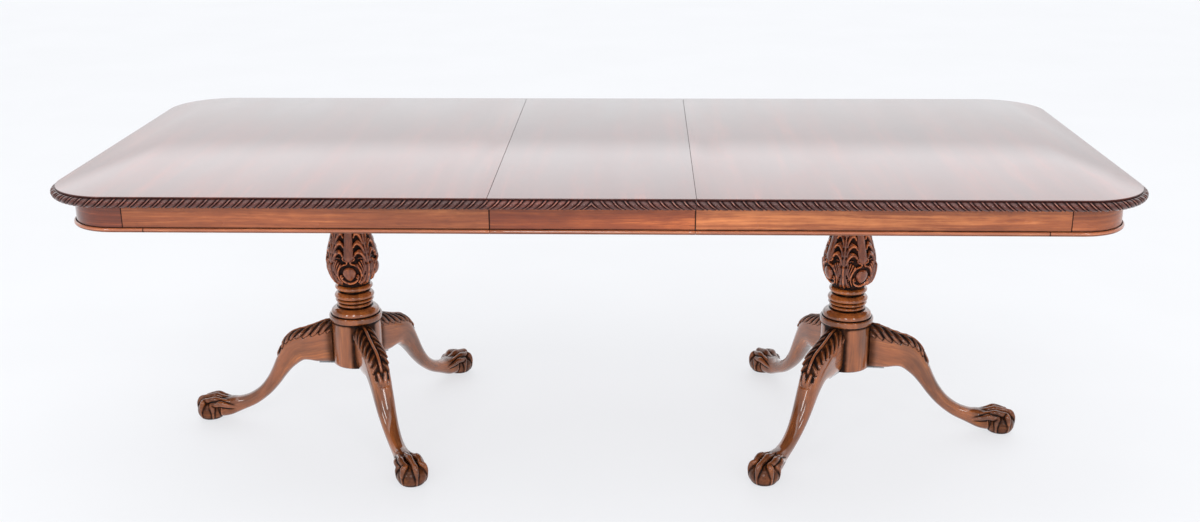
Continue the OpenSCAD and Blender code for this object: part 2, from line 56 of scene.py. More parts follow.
# Sizes taken from the frame, in mm
X, Y, Z = range(3)
HALF_LENGTH = bound("right_top", 1, X)
HALF_WIDTH = bound("right_top", 1, Y)
SEAM = bound("right_top", 0, X)
TABLE_HIGH = bound("right_top", 1, Z)
BOARD_LOW = bound("right_top", 0, Z)
LEAF_HALF = bound("leaf_top", 1, X)
LEAF_LOW = bound("leaf_top", 0, Z)
GADROON_LOW = bound("right_gadroon", 0, Z)
LIP_LOW = bound("right_gadroon", 1, Z)
CORNER_X = bound("right_front_apron", 1, X)
CORNER_Y = bound("right_end_apron", 1, Y)
RADIUS = HALF_LENGTH - CORNER_X
APRON_LOW = bound("right_front_apron", 0, Z)
BEAD_LOW = bound("right_bead", 0, Z)
PEDESTAL_X = (bound("right_cleat", 0, X) + bound("right_cleat", 1, X)) / 2
DRUM_LOW = bound("right_column", 0, Z)
CLEAT_LOW = bound("right_cleat", 0, Z)

# How far in from the edge of the top each face stands, in mm
CORE_INSET = 16.0
APRON_FACE = 37.0
APRON_BACK = 57.0

CORNER_STEPS = 24       # least number of steps round a corner
SHARP_ROUND = 35        # angle in degrees past which a board's edge is drawn sharp
END_STAIN = 0.25        # extra stain on the sawn ends of a moulding

# Turn of each pedestal's legs, and of its vase, in degrees
LEFT_TURN, LEFT_FACE = 178.0, -87.0
RIGHT_TURN, RIGHT_FACE = -4.4, -66.0


# ---------------------------------------------------------------- meshes

def new_object(name, data):
    obj = bpy.data.objects.new(name, data)
    bpy.context.scene.collection.objects.link(obj)
    return obj


def smooth_mesh(name, verts, faces):
    """A smooth-shaded mesh from mm vertices."""
    mesh = bpy.data.meshes.new(name)
    mesh.from_pydata((np.asarray(verts, float) * MM).tolist(), [], faces)
    mesh.update()
    mesh.shade_smooth()
    return mesh


def paint(mesh, wood, dark):
    """Stores grain coordinates, given in mm, and a dark value on a mesh's vertices: stain and painted shade,
    with a painted highlight where it is below zero.
    """
    for name, kind, key, values in (("wood", "FLOAT_VECTOR", "vector", np.asarray(wood, float) * MM),
                                    ("dark", "FLOAT", "value", dark)):
        layer = mesh.attributes.get(name) or mesh.attributes.new(name, kind, "POINT")
        layer.data.foreach_set(key, np.asarray(values, np.float32).ravel())


def solid(name, verts, faces, wood, dark, sharp):
    """A closed, painted mesh object, turned outward; edges past sharp degrees stay crisp."""
    mesh = smooth_mesh(name, verts, faces)
    paint(mesh, wood, dark)
    mesh.set_sharp_from_angle(angle=math.radians(sharp))
    co = read(mesh.vertices, "co")
    mesh.calc_loop_triangles()
    corners = read(mesh.loop_triangles, "vertices", int)
    a, b, c = co[corners].transpose(1, 0, 2)
    if np.einsum("ij,ij->i", a, np.cross(b, c)).sum() < 0:
        mesh.flip_normals()
    return new_object(name, mesh)


def read(items, key, kind=float, width=3):
    """One attribute of a mesh's vertices, edges or triangles, as rows."""
    out = np.empty(len(items) * width, kind)
    items.foreach_get(key, out)
    return out.reshape(-1, width)


def tube_faces(rows, columns, flip=False):
    """Quads of a grid whose columns wrap round."""
    out = []
    for i in range(rows - 1):
        a, b = i * columns, (i + 1) * columns
        for j in range(columns):
            k = (j + 1) % columns
            quad = (a + j, b + j, b + k, a + k)
            out.append(quad[::-1] if flip else quad)
    return out


def end_caps(rows, columns, flip=False):
    """The two faces that close the ends of such a tube."""
    first = tuple(range(columns))
    last = tuple((rows - 1) * columns + j for j in range(columns))
    return [first[::-1], last] if flip else [first, last[::-1]]


def distances(line):
    """Distance along a line of points, at each of them."""
    return np.concatenate([[0], np.cumsum(np.hypot(*np.diff(line, axis=0).T))])


def smoothstep(low, high, x):
    t = np.clip((x - low) / (high - low), 0, 1)
    return t * t * (3 - 2 * t)


def falling(low, high, x):
    return 1 - smoothstep(low, high, x)


def dome(x):
    """A round hump, 1 at x = 0 and 0 past x = 1."""
    return np.sqrt(np.clip(1 - x ** 2, 0, 1))


def bell(x):
    return np.exp(-x ** 2)


def spline(points, steps):
    """Catmull-Rom curve through the points."""
    p = np.asarray(points, float)
    out = []
    for i in range(len(p) - 1):
        a, b, c, d = p[max(i - 1, 0)], p[i], p[i + 1], p[min(i + 2, len(p) - 1)]
        for k in range(steps):
            t = k / steps
            out.append(0.5 * (2 * b + (c - a) * t + (2 * a - 5 * b + 4 * c - d) * t * t
                              + (3 * b - a - 3 * c + d) * t ** 3))
    out.append(p[-1])
    return np.array(out)


# ---------------------------------------------------------------- paths round the top

def half_path(step):
    """Stations (x, y, nx, ny, s) of the right half's outline, from the front seam round to the back seam."""
    straight, end, arc = CORNER_X - SEAM, 2 * CORNER_Y, RADIUS * math.pi / 2
    rows = []

    def count(length):
        return max(1, int(round(length / step)))

    def corner(side, start, base):
        n = max(count(arc), CORNER_STEPS)
        for i in range(n):
            a = start + math.pi / 2 * i / n
            rows.append((CORNER_X + RADIUS * math.cos(a), side * CORNER_Y + RADIUS * math.sin(a),
                         math.cos(a), math.sin(a), base + arc * i / n))

    n = count(straight)
    for i in range(n):
        x = SEAM + straight * i / n
        rows.append((x, -HALF_WIDTH, 0, -1, x))
    corner(-1, -math.pi / 2, CORNER_X)
    n = count(end)
    for i in range(n):
        y = -CORNER_Y + end * i / n
        rows.append((HALF_LENGTH, y, 1, 0, CORNER_X + arc + y + CORNER_Y))
    base = CORNER_X + arc + end
    corner(1, 0.0, base)
    n = count(straight)
    for i in range(n + 1):
        x = CORNER_X - straight * i / n
        rows.append((x, HALF_WIDTH, 0, 1, base + arc + CORNER_X - x))
    return np.array(rows, float)


def line_path(x0, x1, step, side):
    """Stations along the front (side -1) or back (side 1) edge, in order of rising s."""
    n = max(1, int(round(abs(x1 - x0) / step)))
    x = np.linspace(x0, x1, n + 1)
    return np.stack([x, np.full(n + 1, side * HALF_WIDTH), np.zeros(n + 1),
                     np.full(n + 1, float(side)), x], 1)


def sweep(name, path, profile, dark, inset_shift=0.0, z_shift=0.0, mirror=False, bevel=0.4, sharp=40,
          offset=(0, 0, 0)):
    """Sweeps a closed (inset, z) profile along a path, with bevelled and capped ends."""
    profile = np.asarray(profile, float)
    rows, cols = len(path), len(profile)
    inset = np.repeat(profile[None, :, 0], rows, 0) + inset_shift
    z = np.repeat(profile[None, :, 1], rows, 0) + z_shift
    middle = profile.mean(0)
    place = path.copy()
    ends = []
    for row, inward in ((0, 1), (rows - 1, -1)):
        size = np.linalg.norm(np.stack([inset[row] - middle[0], z[row] - middle[1]], 1), axis=1)
        pull = 1 - bevel / np.maximum(size, bevel * 2)
        ends.append((middle[0] + (inset[row] - middle[0]) * pull, middle[1] + (z[row] - middle[1]) * pull,
                     place[row].copy(), dark[row] + END_STAIN))
        tangent = np.array([-place[row, 3], place[row, 2]])
        place[row, :2] += tangent * bevel * inward * 0.9
    inset, z, place, dark = (np.vstack([first, body, last])
                             for first, body, last in zip(ends[0], (inset, z, place, dark), ends[1]))
    rows += len(ends)
    x = place[:, 0:1] - place[:, 2:3] * inset
    y = place[:, 1:2] - place[:, 3:4] * inset
    verts = np.stack([x, y, z], 2).reshape(-1, 3)
    wood = np.stack([np.repeat(place[:, 4:5], cols, 1), z, inset], 2) + offset
    if mirror:
        verts[:, 0] *= -1
    faces = tube_faces(rows, cols, mirror) + end_caps(rows, cols, mirror)
    return solid(name, verts, faces, wood, dark, sharp)


# ---------------------------------------------------------------- materials

class Nodes:
    """A small helper that adds and links shader nodes."""

    def __init__(self, name):
        self.material = bpy.data.materials.new(name)
        self.material.use_nodes = True
        self.tree = self.material.node_tree
        self.tree.nodes.clear()
        self.bsdf = self.add("ShaderNodeBsdfPrincipled")
        self.tree.links.new(self.bsdf.outputs[0], self.add("ShaderNodeOutputMaterial").inputs[0])

    def add(self, kind, **values):
        node = self.tree.nodes.new(kind)
        for key, value in values.items():
            setattr(node, key, value)
        return node

    def link(self, source, target):
        if isinstance(source, bpy.types.NodeSocket):
            self.tree.links.new(source, target)
        else:
            target.default_value = source

    def feed(self, node, **inputs):
        """Links or sets inputs of a node; an underscore stands for a space."""
        for key, source in inputs.items():
            self.link(source, node.inputs[key.replace("_", " ")])

    def set(self, **inputs):
        self.feed(self.bsdf, **inputs)

    def place(self):
        return self.add("ShaderNodeTexCoord").outputs["Object"]

    def noise(self, vector, scale, detail=3, rough=0.55, location=(0, 0, 0)):
        """Noise of one scale, or stretched to three."""
        node = self.add("ShaderNodeTexNoise")
        if isinstance(scale, tuple):
            mapping = self.add("ShaderNodeMapping")
            self.feed(mapping, Vector=vector, Scale=scale, Location=location)
            vector, scale = mapping.outputs[0], 1.0
        self.feed(node, Vector=vector, Scale=scale, Detail=detail, Roughness=rough)
        return node.outputs["Fac"]

    def math(self, kind, a, b):
        node = self.add("ShaderNodeMath", operation=kind)
        self.link(a, node.inputs[0])
        self.link(b, node.inputs[1])
        return node.outputs[0]

    def plus(self, a, b):
        return self.math("ADD", a, b)

    def times(self, a, b):
        return self.math("MULTIPLY", a, b)

    def ramp(self, fac, low, high, to_low=0.0, to_high=1.0):
        node = self.add("ShaderNodeMapRange", interpolation_type="SMOOTHSTEP")
        self.link(fac, node.inputs["Value"])
        set_range(node, low, high, to_low, to_high)
        return node.outputs[0]

    def mix(self, fac, a, b):
        node = self.add("ShaderNodeMix", data_type="RGBA")
        self.link(fac, node.inputs[0])
        self.link(a, node.inputs[6])
        self.link(b, node.inputs[7])
        return node.outputs[2]

    def bump(self, height, strength, distance):
        node = self.add("ShaderNodeBump")
        self.feed(node, Strength=strength, Distance=distance, Height=height)
        self.set(Normal=node.outputs[0])


def set_range(node, low, high, to_low, to_high):
    for key, value in (("From Min", low), ("From Max", high), ("To Min", to_low), ("To Max", to_high)):
        node.inputs[key].default_value = value


def rgb(r, g, b):
    """An sRGB colour, 0 to 255, as linear RGBA."""
    def lin(v):
        v /= 255
        return v / 12.92 if v <= 0.04045 else ((v + 0.055) / 1.055) ** 2.4
    return (lin(r), lin(g), lin(b), 1.0)


def mahogany(name, seed, light, mid, deep, stain_and_shade=(34, 20, 17), wear_and_highlight=None, gloss=0.16, coat=1.0, level=0.35,
             figure=0.6, variation=0.5, patch=1.0, pore=0.35):
    """Polished mahogany: grain along the first wood axis, pores, slow drift, hollows darkened with stain and
    painted shade, ridges lightened with wear and a painted highlight.
    """
    m = Nodes(name)
    wood = m.add("ShaderNodeAttribute", attribute_name="wood").outputs["Vector"]
    dark = m.add("ShaderNodeAttribute", attribute_name="dark").outputs["Fac"]
    # the grain wanders across the board
    shift = m.add("ShaderNodeVectorMath", operation="MULTIPLY_ADD")
    m.link(m.noise(wood, (1.5, 5, 5), 2, location=(seed, seed * 2, 0)), shift.inputs[0])
    shift.inputs[1].default_value = (0.0, 0.035, 0.035)
    m.link(wood, shift.inputs[2])
    grain = shift.outputs[0]
    bands = m.noise(grain, (1.3, 26, 26), 4, 0.6, (seed, 0, 0))
    streak = m.noise(grain, (5, 190, 190), 4, 0.65, (0, seed, 0))
    ribbon = m.noise(grain, (22, 60, 60), 2)
    mixed = m.plus(m.plus(m.times(bands, 0.5), m.times(streak, 0.36)), m.times(ribbon, 0.14))
    colour = m.mix(m.ramp(mixed, 0.5 - 0.17 / figure, 0.5 + 0.17 / figure), rgb(*deep), rgb(*mid))
    colour = m.mix(m.ramp(mixed, 0.5, 0.5 + 0.16 / figure ** 0.6), colour, rgb(*light))
    # slow drift from light to dark
    cloud = m.noise(wood, (2.2 * patch, 7 * patch, 7 * patch), location=(seed * 3, 1, 2))
    shade = m.add("ShaderNodeVectorMath", operation="SCALE")
    m.link(colour, shade.inputs[0])
    m.link(m.ramp(cloud, 0.3, 0.7, 1 - 0.35 * variation, 1 + 0.25 * variation), shade.inputs["Scale"])
    holes = m.ramp(m.noise(grain, (30, 1300, 1300), 2, 0.5), 0.60, 0.70, 0.0, pore)
    colour = m.mix(holes, shade.outputs[0], rgb(*[c * 0.42 for c in deep]))
    # ridges, where the dark value is below zero, take a lighter colour: wear and a painted highlight
    if wear_and_highlight:
        ridge = m.ramp(m.times(dark, -1.0), 0.05, 0.6, 0.0, 0.75)
        wear_and_highlight_patches = m.ramp(m.noise(wood, 90, 2), 0.35, 0.6)
        colour = m.mix(m.times(ridge, wear_and_highlight_patches), colour, rgb(*wear_and_highlight))
    # where the dark value is high, the stain colour stands for stain and for painted shade
    shade_and_stain_mask = m.times(m.ramp(dark, 0.02, 0.85), m.ramp(m.noise(wood, 60), 0.2, 0.6, 0.75, 1.0))
    # stained and painted-shade places and open pores are duller than the polish
    rough = m.plus(m.ramp(cloud, 0.3, 0.7, gloss * 0.85, gloss * 1.2), m.times(shade_and_stain_mask, 0.25))
    m.set(Base_Color=m.mix(shade_and_stain_mask, colour, rgb(*stain_and_shade)), Roughness=m.plus(rough, m.times(holes, 0.08)),
          Coat_Weight=m.ramp(shade_and_stain_mask, 0.0, 0.9, coat, 0.04), Coat_Roughness=0.07,
          Specular_IOR_Level=m.ramp(shade_and_stain_mask, 0.0, 0.9, level, 0.06), IOR=1.5)
    m.bump(m.math("SUBTRACT", m.times(streak, 0.35), m.times(holes, 0.5)), 0.25, 0.0003)
    return m.material


def raw_wood(name, light, deep, axis):
    """Plain machined beech, for the parts under the top; the grain runs along axis, x or y."""
    m = Nodes(name)
    place = m.place()
    bands = m.noise(place, (2, 60, 60) if axis == "x" else (60, 2, 60), 4)
    fleck = m.noise(place, (22, 900, 900) if axis == "x" else (900, 22, 900), 2)
    colour = m.mix(m.ramp(bands, 0.32, 0.68), rgb(*deep), rgb(*light))
    colour = m.mix(m.ramp(fleck, 0.58, 0.7, 0, 0.45), colour, rgb(*[c * 0.6 for c in deep]))
    colour = m.mix(m.ramp(m.noise(place, 9.0, 2), 0.4, 0.75, 0, 0.35), colour, rgb(118, 84, 56))
    m.set(Base_Color=colour, Roughness=m.ramp(bands, 0.3, 0.7, 0.48, 0.66))
    m.bump(m.plus(bands, m.times(fleck, 0.4)), 0.3, 0.0004)
    return m.material


def metal(name, colour, tint, rough):
    """Brushed metal with dull spots."""
    m = Nodes(name)
    place = m.place()
    lines = m.noise(place, (400, 400, 30))
    spots = m.noise(place, 160.0)
    wear = m.plus(m.times(lines, 0.6), m.times(spots, 0.4))
    m.set(Base_Color=m.mix(m.ramp(spots, 0.45, 0.75, 0, 0.7), rgb(*colour), rgb(*tint)), Metallic=1.0,
          Roughness=m.ramp(wear, 0.3, 0.7, rough * 0.75, rough * 1.35))
    m.bump(lines, 0.15, 0.0002)
    return m.material


def plastic(name, colour, shade):
    """Moulded plastic with a fine texture."""
    m = Nodes(name)
    place = m.place()
    fine = m.noise(place, 900.0, 2)
    m.set(Base_Color=m.mix(m.ramp(m.noise(place, 60.0), 0.35, 0.7), rgb(*colour), rgb(*shade)),
          Roughness=m.ramp(fine, 0.3, 0.7, 0.42, 0.58), Subsurface_Weight=0.05)
    m.bump(fine, 0.12, 0.0002)
    return m.material


TOP_WOOD = mahogany("top_mahogany", 1.3, (132, 58, 40), (106, 42, 30), (78, 31, 24), gloss=0.2, level=0.5)
LEAF_WOOD = mahogany("leaf_mahogany", 7.1, (124, 54, 40), (98, 40, 31), (74, 31, 26), gloss=0.2, level=0.5)
APRON_WOOD = mahogany("apron_mahogany_wood", 2.2, (208, 128, 76), (184, 104, 60), (122, 61, 38),
                      gloss=0.26, coat=0.3, figure=0.9, pore=0.45)
LEAF_APRON_WOOD = mahogany("leaf_apron_mahogany", 9.4, (196, 108, 58), (168, 86, 45), (114, 51, 32),
                           gloss=0.26, coat=0.3, figure=1.0, variation=0.6, pore=0.45)
CORNER_WOOD = mahogany("corner_mahogany", 4.4, (176, 92, 52), (134, 62, 34), (84, 36, 23), gloss=0.12,
                       coat=0.5, figure=0.7, variation=0.7, pore=0.45)
CARVED_WOOD = mahogany("carved_mahogany_wood", 3.1, (124, 62, 47), (102, 51, 40), (76, 39, 33),
                       stain_and_shade=(22, 13, 16), wear_and_highlight=(206, 140, 118), coat=0.5, figure=1.0, variation=0.6,
                       pore=0.4)
# the bead's colours are set lighter than the apron's to stand for its sheen: a painted highlight
HIGHLIT_BEAD_WOOD = mahogany("bead_mahogany_painted_highlight", 8.3, (224, 146, 96), (196, 118, 76), (140, 74, 50),
                     stain_and_shade=(24, 13, 12), coat=0.9, level=0.5, pore=0.3)
VASE_WOOD = mahogany("vase_mahogany", 1.7, (172, 94, 52), (138, 70, 40), (96, 47, 30),
                     stain_and_shade=(20, 12, 11), wear_and_highlight=(216, 122, 66), coat=0.7, variation=0.6, pore=0.3)
TURNED_WOOD = mahogany("turned_mahogany", 5.2, (210, 124, 56), (166, 92, 40), (100, 50, 26),
                       stain_and_shade=(20, 11, 9), wear_and_highlight=(220, 124, 62), gloss=0.12, figure=0.36, variation=1.3,
                       patch=3.0, pore=0.2)
LEG_WOOD = mahogany("leg_mahogany", 6.6, (210, 124, 58), (162, 92, 45), (98, 49, 28),
                    stain_and_shade=(20, 12, 11), wear_and_highlight=(208, 114, 62), gloss=0.13, figure=0.4, variation=1.4,
                    patch=3.2, pore=0.2)
BEECH_X = raw_wood("beech_long", (206, 168, 122), (176, 134, 92), "x")
BEECH_Y = raw_wood("beech_cross", (200, 162, 118), (170, 130, 88), "y")
STEEL = metal("zinc_plated_steel", (176, 178, 182), (140, 136, 130), 0.32)
BRASS = metal("worn_brass", (206, 164, 88), (150, 112, 60), 0.28)
NYLON = plastic("pale_nylon", (222, 216, 202), (202, 194, 178))


def finish_piece(obj, body, material, node):
    """Gives a piece its material and its body, in place of a CAD node."""
    obj.data.materials.clear()
    obj.data.materials.append(material)
    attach(obj, body)
    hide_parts(node)


# ---------------------------------------------------------------- tops

SEAM_SOFTENING = 0.35   # in mm, as is the rounding of the lip
LIP_ROUNDING = 1.6
# painted shade at the first points of a board's profile, from the core out round the lip: darkest under the
# lip, less on its edge
EDGE_SHADE = (0, 0.7, 0.7, 0.7, 0.5, 0.5, 0.5, 0.15)


def board_profile(low):
    """Edge of a top board: core, underside of the lip, and a softly rounded lip."""
    points = [(CORE_INSET, low), (CORE_INSET, LIP_LOW + 0.02), (0.5, LIP_LOW + 0.02), (0, LIP_LOW + 0.5)]
    steps = 5
    for i in range(steps + 1):
        a = math.pi / 2 * i / steps
        points.append((LIP_ROUNDING - LIP_ROUNDING * math.cos(a),
                       TABLE_HIGH - LIP_ROUNDING + LIP_ROUNDING * math.sin(a)))
    return np.array(points)


def half_top(name, mirror):
    """Board of one half top, with its seam edge a little softened."""
    profile = board_profile(BOARD_LOW)
    path = half_path(60)
    rows, cols = len(path), len(profile)
    verts = np.zeros((rows, cols, 3))
    for j, (inset, z) in enumerate(profile):
        verts[:, j, :2] = path[:, :2] - path[:, 2:4] * inset
        verts[:, j, 2] = z
    verts[[0, -1], -1, 0] += SEAM_SOFTENING
    faces = []
    for i in range(rows - 1):
        for j in range(cols - 1):
            a, b = i * cols + j, (i + 1) * cols + j
            faces.append((a, b, b + 1, a + 1))
    faces.append(tuple(i * cols + cols - 1 for i in range(rows)))
    faces.append(tuple(i * cols for i in range(rows))[::-1])
    faces.append(tuple(range(cols)) + tuple((rows - 1) * cols + j for j in range(cols))[::-1])
    dark = np.zeros((rows, cols))
    # painted shade under the lip and round its edge
    dark[:, :len(EDGE_SHADE)] = EDGE_SHADE
    verts = verts.reshape(-1, 3)
    if mirror:
        verts[:, 0] *= -1
    wood = verts[:, [1, 0, 2]]
    return solid(name, verts, faces, wood, dark, SHARP_ROUND)


def leaf_top():
    """Board of the leaf, softened along both seams."""
    profile = board_profile(LEAF_LOW)
    section = [(i - HALF_WIDTH, z) for i, z in profile] + [(HALF_WIDTH - i, z) for i, z in profile[::-1]]
    n = len(section)
    # painted shade under the lip and round its edge
    stain_and_shade = np.zeros(len(profile))
    stain_and_shade[:len(EDGE_SHADE)] = EDGE_SHADE
    verts, wood, dark = [], [], []
    for x, drop in ((-LEAF_HALF, 0.3), (-LEAF_HALF + SEAM_SOFTENING, 0.0),
                    (LEAF_HALF - SEAM_SOFTENING, 0.0), (LEAF_HALF, 0.3)):
        for k, (y, z) in enumerate(section):
            verts.append((x, y, z - (drop if z > TABLE_HIGH - 0.2 else 0)))
            wood.append((y, x + 900, z))
            dark.append(stain_and_shade[min(k, n - 1 - k)])
    stations = len(verts) // n
    faces = tube_faces(stations, n) + end_caps(stations, n)
    return solid("leaf_board", verts, faces, wood, dark, SHARP_ROUND)


# ---------------------------------------------------------------- gadroon moulding

GADROON_PITCH = 25.0    # from lobe to lobe, in mm
GADROON_LEAN = 0.85     # part of the pitch that a lobe leans from top to bottom
GADROON_DEPTH = 5.0     # of the hollows between lobes, in mm


def gadroon(name, path, mirror=False):
    """Oblique lobes with a fillet between each pair, cut in the edge moulding."""
    high, low = LIP_LOW, GADROON_LOW
    face = spline([(1.0, high), (-5.4, high - 1.6), (-9.6, high - 4.8), (-11.0, high - 9),
                   (-9.8, high - 13.8), (-6.2, high - 18.2), (-0.4, low - 2.2), (6.0, low - 3.0)], 3)
    back = np.array([(CORE_INSET - 0.1, low), (CORE_INSET - 0.1, high)])
    profile = np.vstack([face, back])
    down = (high - profile[:, 1]) / (high - low)
    lean = GADROON_PITCH * GADROON_LEAN * (down ** 1.2)[None, :]
    phase = np.mod((np.abs(path[:, 4:5]) - lean) / GADROON_PITCH, 1.0)
    lobe = dome((phase - 0.36) / 0.34)
    fillet = 0.95 * dome((phase - 0.86) / 0.12)
    hollow = 1 - np.maximum(lobe, fillet)
    on_face = np.concatenate([np.ones(len(face)), np.zeros(len(back))])[None, :]
    reach = (0.2 + 0.8 * smoothstep(0.0, 0.22, down)) * on_face
    cut = GADROON_DEPTH * reach * hollow
    lift = 1.6 * smoothstep(0.75, 1.0, down)[None, :] * hollow * on_face
    # painted shade in the hollows between lobes and just under the lip, lobes lighter, and a painted
    # highlight on each fillet where the value drops below zero
    dark = (0.8 - 0.62 * lobe ** 1.5 - 1.5 * fillet ** 3 + 0.3 * (1 - reach)) * on_face
    return sweep(name, path, profile, dark, cut, lift, mirror=mirror, bevel=0.3, sharp=80)


# ---------------------------------------------------------------- bead and aprons

BEAD_RADIUS = 5.0


def bead(name, path, joints=(), mirror=False):
    """A fillet and a round bead under the apron, with a painted shadow in the quirk and painted shade on the
    bead's lower half and underside; its joints are stained dark.
    """
    mid = BEAD_LOW + BEAD_RADIUS
    profile = [(APRON_BACK, APRON_LOW - 0.1), (APRON_FACE + 1.2, APRON_LOW - 0.1),
               (APRON_FACE + 0.4, APRON_LOW - 1.2), (APRON_FACE - 0.8, APRON_LOW - 0.9)]
    arc = 100 + 170 * np.arange(13) / 12
    for degrees in arc:
        a = math.radians(degrees)
        profile.append((APRON_FACE - 1 + BEAD_RADIUS * math.cos(a), mid + BEAD_RADIUS * math.sin(a)))
    profile += [(APRON_FACE + 1.5, BEAD_LOW + 0.1), (APRON_BACK, BEAD_LOW + 0.1)]
    dark = np.zeros((len(path), len(profile)))
    # painted shadow in the quirk between apron and bead, and painted shade on the lower half of the bead and
    # under it
    dark[:, 1:4] = 0.95
    dark[:, 4:-2] = 0.6 * falling(100, 130, arc) + 0.5 * smoothstep(165, 195, arc)
    dark[:, -2:] = 0.5
    for at in joints:
        dark[np.abs(path[:, 4] - at) < 0.95] += 0.9
    return sweep(name, path, profile, dark, mirror=mirror, sharp=50)


def station(path, s):
    """The station at distance s along a path."""
    k = int(np.clip(np.searchsorted(path[:, 4], s) - 1, 0, len(path) - 2))
    t = (s - path[k, 4]) / (path[k + 1, 4] - path[k, 4])
    return path[k] * (1 - t) + path[k + 1] * t


def with_joints(path, joints, steps):
    """Adds close stations either side of each joint along the path."""
    both = np.vstack([path, [station(path, at + d) for at in joints for d in steps]])
    return both[np.argsort(both[:, 4], kind="stable")]


def apron(name, path, high, mirror=False, offset=(0, 0, 0)):
    """An apron board with rounded edges and a dark line at each end joint."""
    low, r = APRON_LOW, 0.4
    profile = [(APRON_FACE + r, low), (APRON_FACE, low + r), (APRON_FACE, low + 4),
               (APRON_FACE, (low + high) / 2), (APRON_FACE, high - 6), (APRON_FACE, high - r),
               (APRON_FACE + r, high), (APRON_BACK - r, high), (APRON_BACK, high - r),
               (APRON_BACK, low + r), (APRON_BACK - r, low)]
    path = with_joints(path, [path[0, 4] + 1.3, path[-1, 4] - 1.3], (-0.4, 0.4))
    # painted shade along the bottom edge by the bead, along the top edge under the gadroon, and on the back
    # face
    dark = np.tile([0.7, 0.7, 0, 0, 0.1, 0.75, 0.75, 0.25, 0.25, 0.25, 0.25], (len(path), 1))
    dark[np.minimum(path[:, 4] - path[0, 4], path[-1, 4] - path[:, 4]) < 1.0] += 0.7
    return sweep(name, path, profile, dark, mirror=mirror, bevel=0.45, sharp=30, offset=offset)


def part_of(path, low, high):
    """The stretch of a path from low to high."""
    keep = (path[:, 4] > low + 0.01) & (path[:, 4] < high - 0.01)
    ends = [station(path, low), station(path, high)]
    for row in ends:
        row[2:4] /= np.linalg.norm(row[2:4])
    return np.vstack([ends[0], path[keep], ends[1]])


def half_edges():
    """Board, gadroon, bead and aprons of each half."""
    arc = RADIUS * math.pi / 2
    fine, coarse = half_path(1.1), half_path(12)
    # how far the corner pieces of the bead and the apron run on past the curve, in mm
    bead_side, bead_end, apron_side = 72, 30, 26
    near = CORNER_X + arc
    far = near + 2 * CORNER_Y
    joints = [CORNER_X - bead_side, near + bead_end, far - bead_end, far + arc + bead_side]
    marks = (SEAM, CORNER_X - apron_side, near, far, far + arc + apron_side, coarse[-1, 4])
    parts = ("front_apron", "front_corner_apron", "end_apron", "back_corner_apron", "back_apron")
    for side, mirror in (("left", True), ("right", False)):
        body = side + "_half"
        finish_piece(half_top(side + "_board", mirror), body, TOP_WOOD, side + "_top")
        finish_piece(gadroon(side + "_gadroon_carving", fine, mirror), body, CARVED_WOOD,
                     side + "_gadroon")
        path = with_joints(coarse, joints, (-1.4, -0.9, 0, 0.9, 1.4))
        finish_piece(bead(side + "_bead_moulding", path, joints, mirror), body, HIGHLIT_BEAD_WOOD,
                     side + "_bead")
        for k, (part, low, high) in enumerate(zip(parts, marks[:-1], marks[1:])):
            # the offset gives each board its own stretch of grain
            piece = apron(f"{side}_{part}_board", part_of(coarse, low, high), BOARD_LOW, mirror,
                          (700 * k, 130 * k + (900 if mirror else 0), 0))
            wood = CORNER_WOOD if "corner" in part and side == "left" else APRON_WOOD
            finish_piece(piece, body, wood, f"{side}_{part}")


def leaf_parts():
    """Board, gadroons, beads and aprons of the leaf."""
    finish_piece(leaf_top(), "leaf", LEAF_WOOD, "leaf_top")
    for k, (where, side) in enumerate((("front", -1), ("back", 1))):
        # each gadroon is swept from the middle of the leaf, so the lobes meet there
        for hand, end in (("left", -LEAF_HALF), ("right", LEAF_HALF)):
            piece = gadroon(f"leaf_{where}_{hand}_gadroon", line_path(0, end, 1.1, side))
            finish_piece(piece, "leaf", CARVED_WOOD, "leaf_gadroon")
        path = line_path(-LEAF_HALF, LEAF_HALF, 30, side)
        finish_piece(bead(f"leaf_{where}_bead", path), "leaf", HIGHLIT_BEAD_WOOD, "leaf_bead")
        finish_piece(apron(f"leaf_{where}_apron_board", path, BOARD_LOW + 0.3, offset=(300 * k, 60, 400)),
                     "leaf", LEAF_APRON_WOOD, f"leaf_{where}_apron")


# ---------------------------------------------------------------- columns

def ring(z0, z1, radius, bulge):
    """Profile of a rounded ring from z0 to z1."""
    return [(radius + bulge * math.sin(a), (z0 + z1) / 2 - (z1 - z0) / 2 * math.cos(a))
            for a in np.linspace(0, math.pi, 11)]


# Profiles as (radius, height)
DRUM_RADIUS, DRUM_TOP = 64, 283
COLLAR_LOW = 291
COLLAR = [(64, 290.4), (64.6, 291.6), (66.6, 292.4), (67.8, 294), (68, 297), (68, 303), (67.5, 305.6),
          (66.2, 307), (64.6, 307.5), (62.0, 306.6), (61.2, 307.6), (62.2, 311.5), (61.8, 315.6),
          (59.6, 319.8), (55.4, 323.4), (49.4, 326.0), (42.0, 327.8), (38.4, 329.2)]
OVOLO = [(40.4, 351.4), (43, 352.0), (48.6, 352.9), (50.6, 355), (50.9, 357.8), (49.8, 361), (46.6, 364.4),
         (42.4, 366.8), (38.8, 368.4), (36.8, 369.8), (36.2, 371.8)]
VASE = [(42, 392), (49, 397), (56, 408), (61.5, 421), (64.8, 437), (65.5, 452), (64, 467), (60.5, 483),
        (56, 499), (51.5, 515), (47.5, 531), (44, 549), (41.5, 568), (40.5, 588), (40.5, 598)]
VASE_GIRTH = 65         # radius at which the carving is laid out
LEAF_MIDDLE = 51        # place of a leaf's midrib, from the middle of a cabochon
CAP = [(42, 617), (43, 632), (48, 652), (56, 670), (60, 682), (60, CLEAT_LOW)]


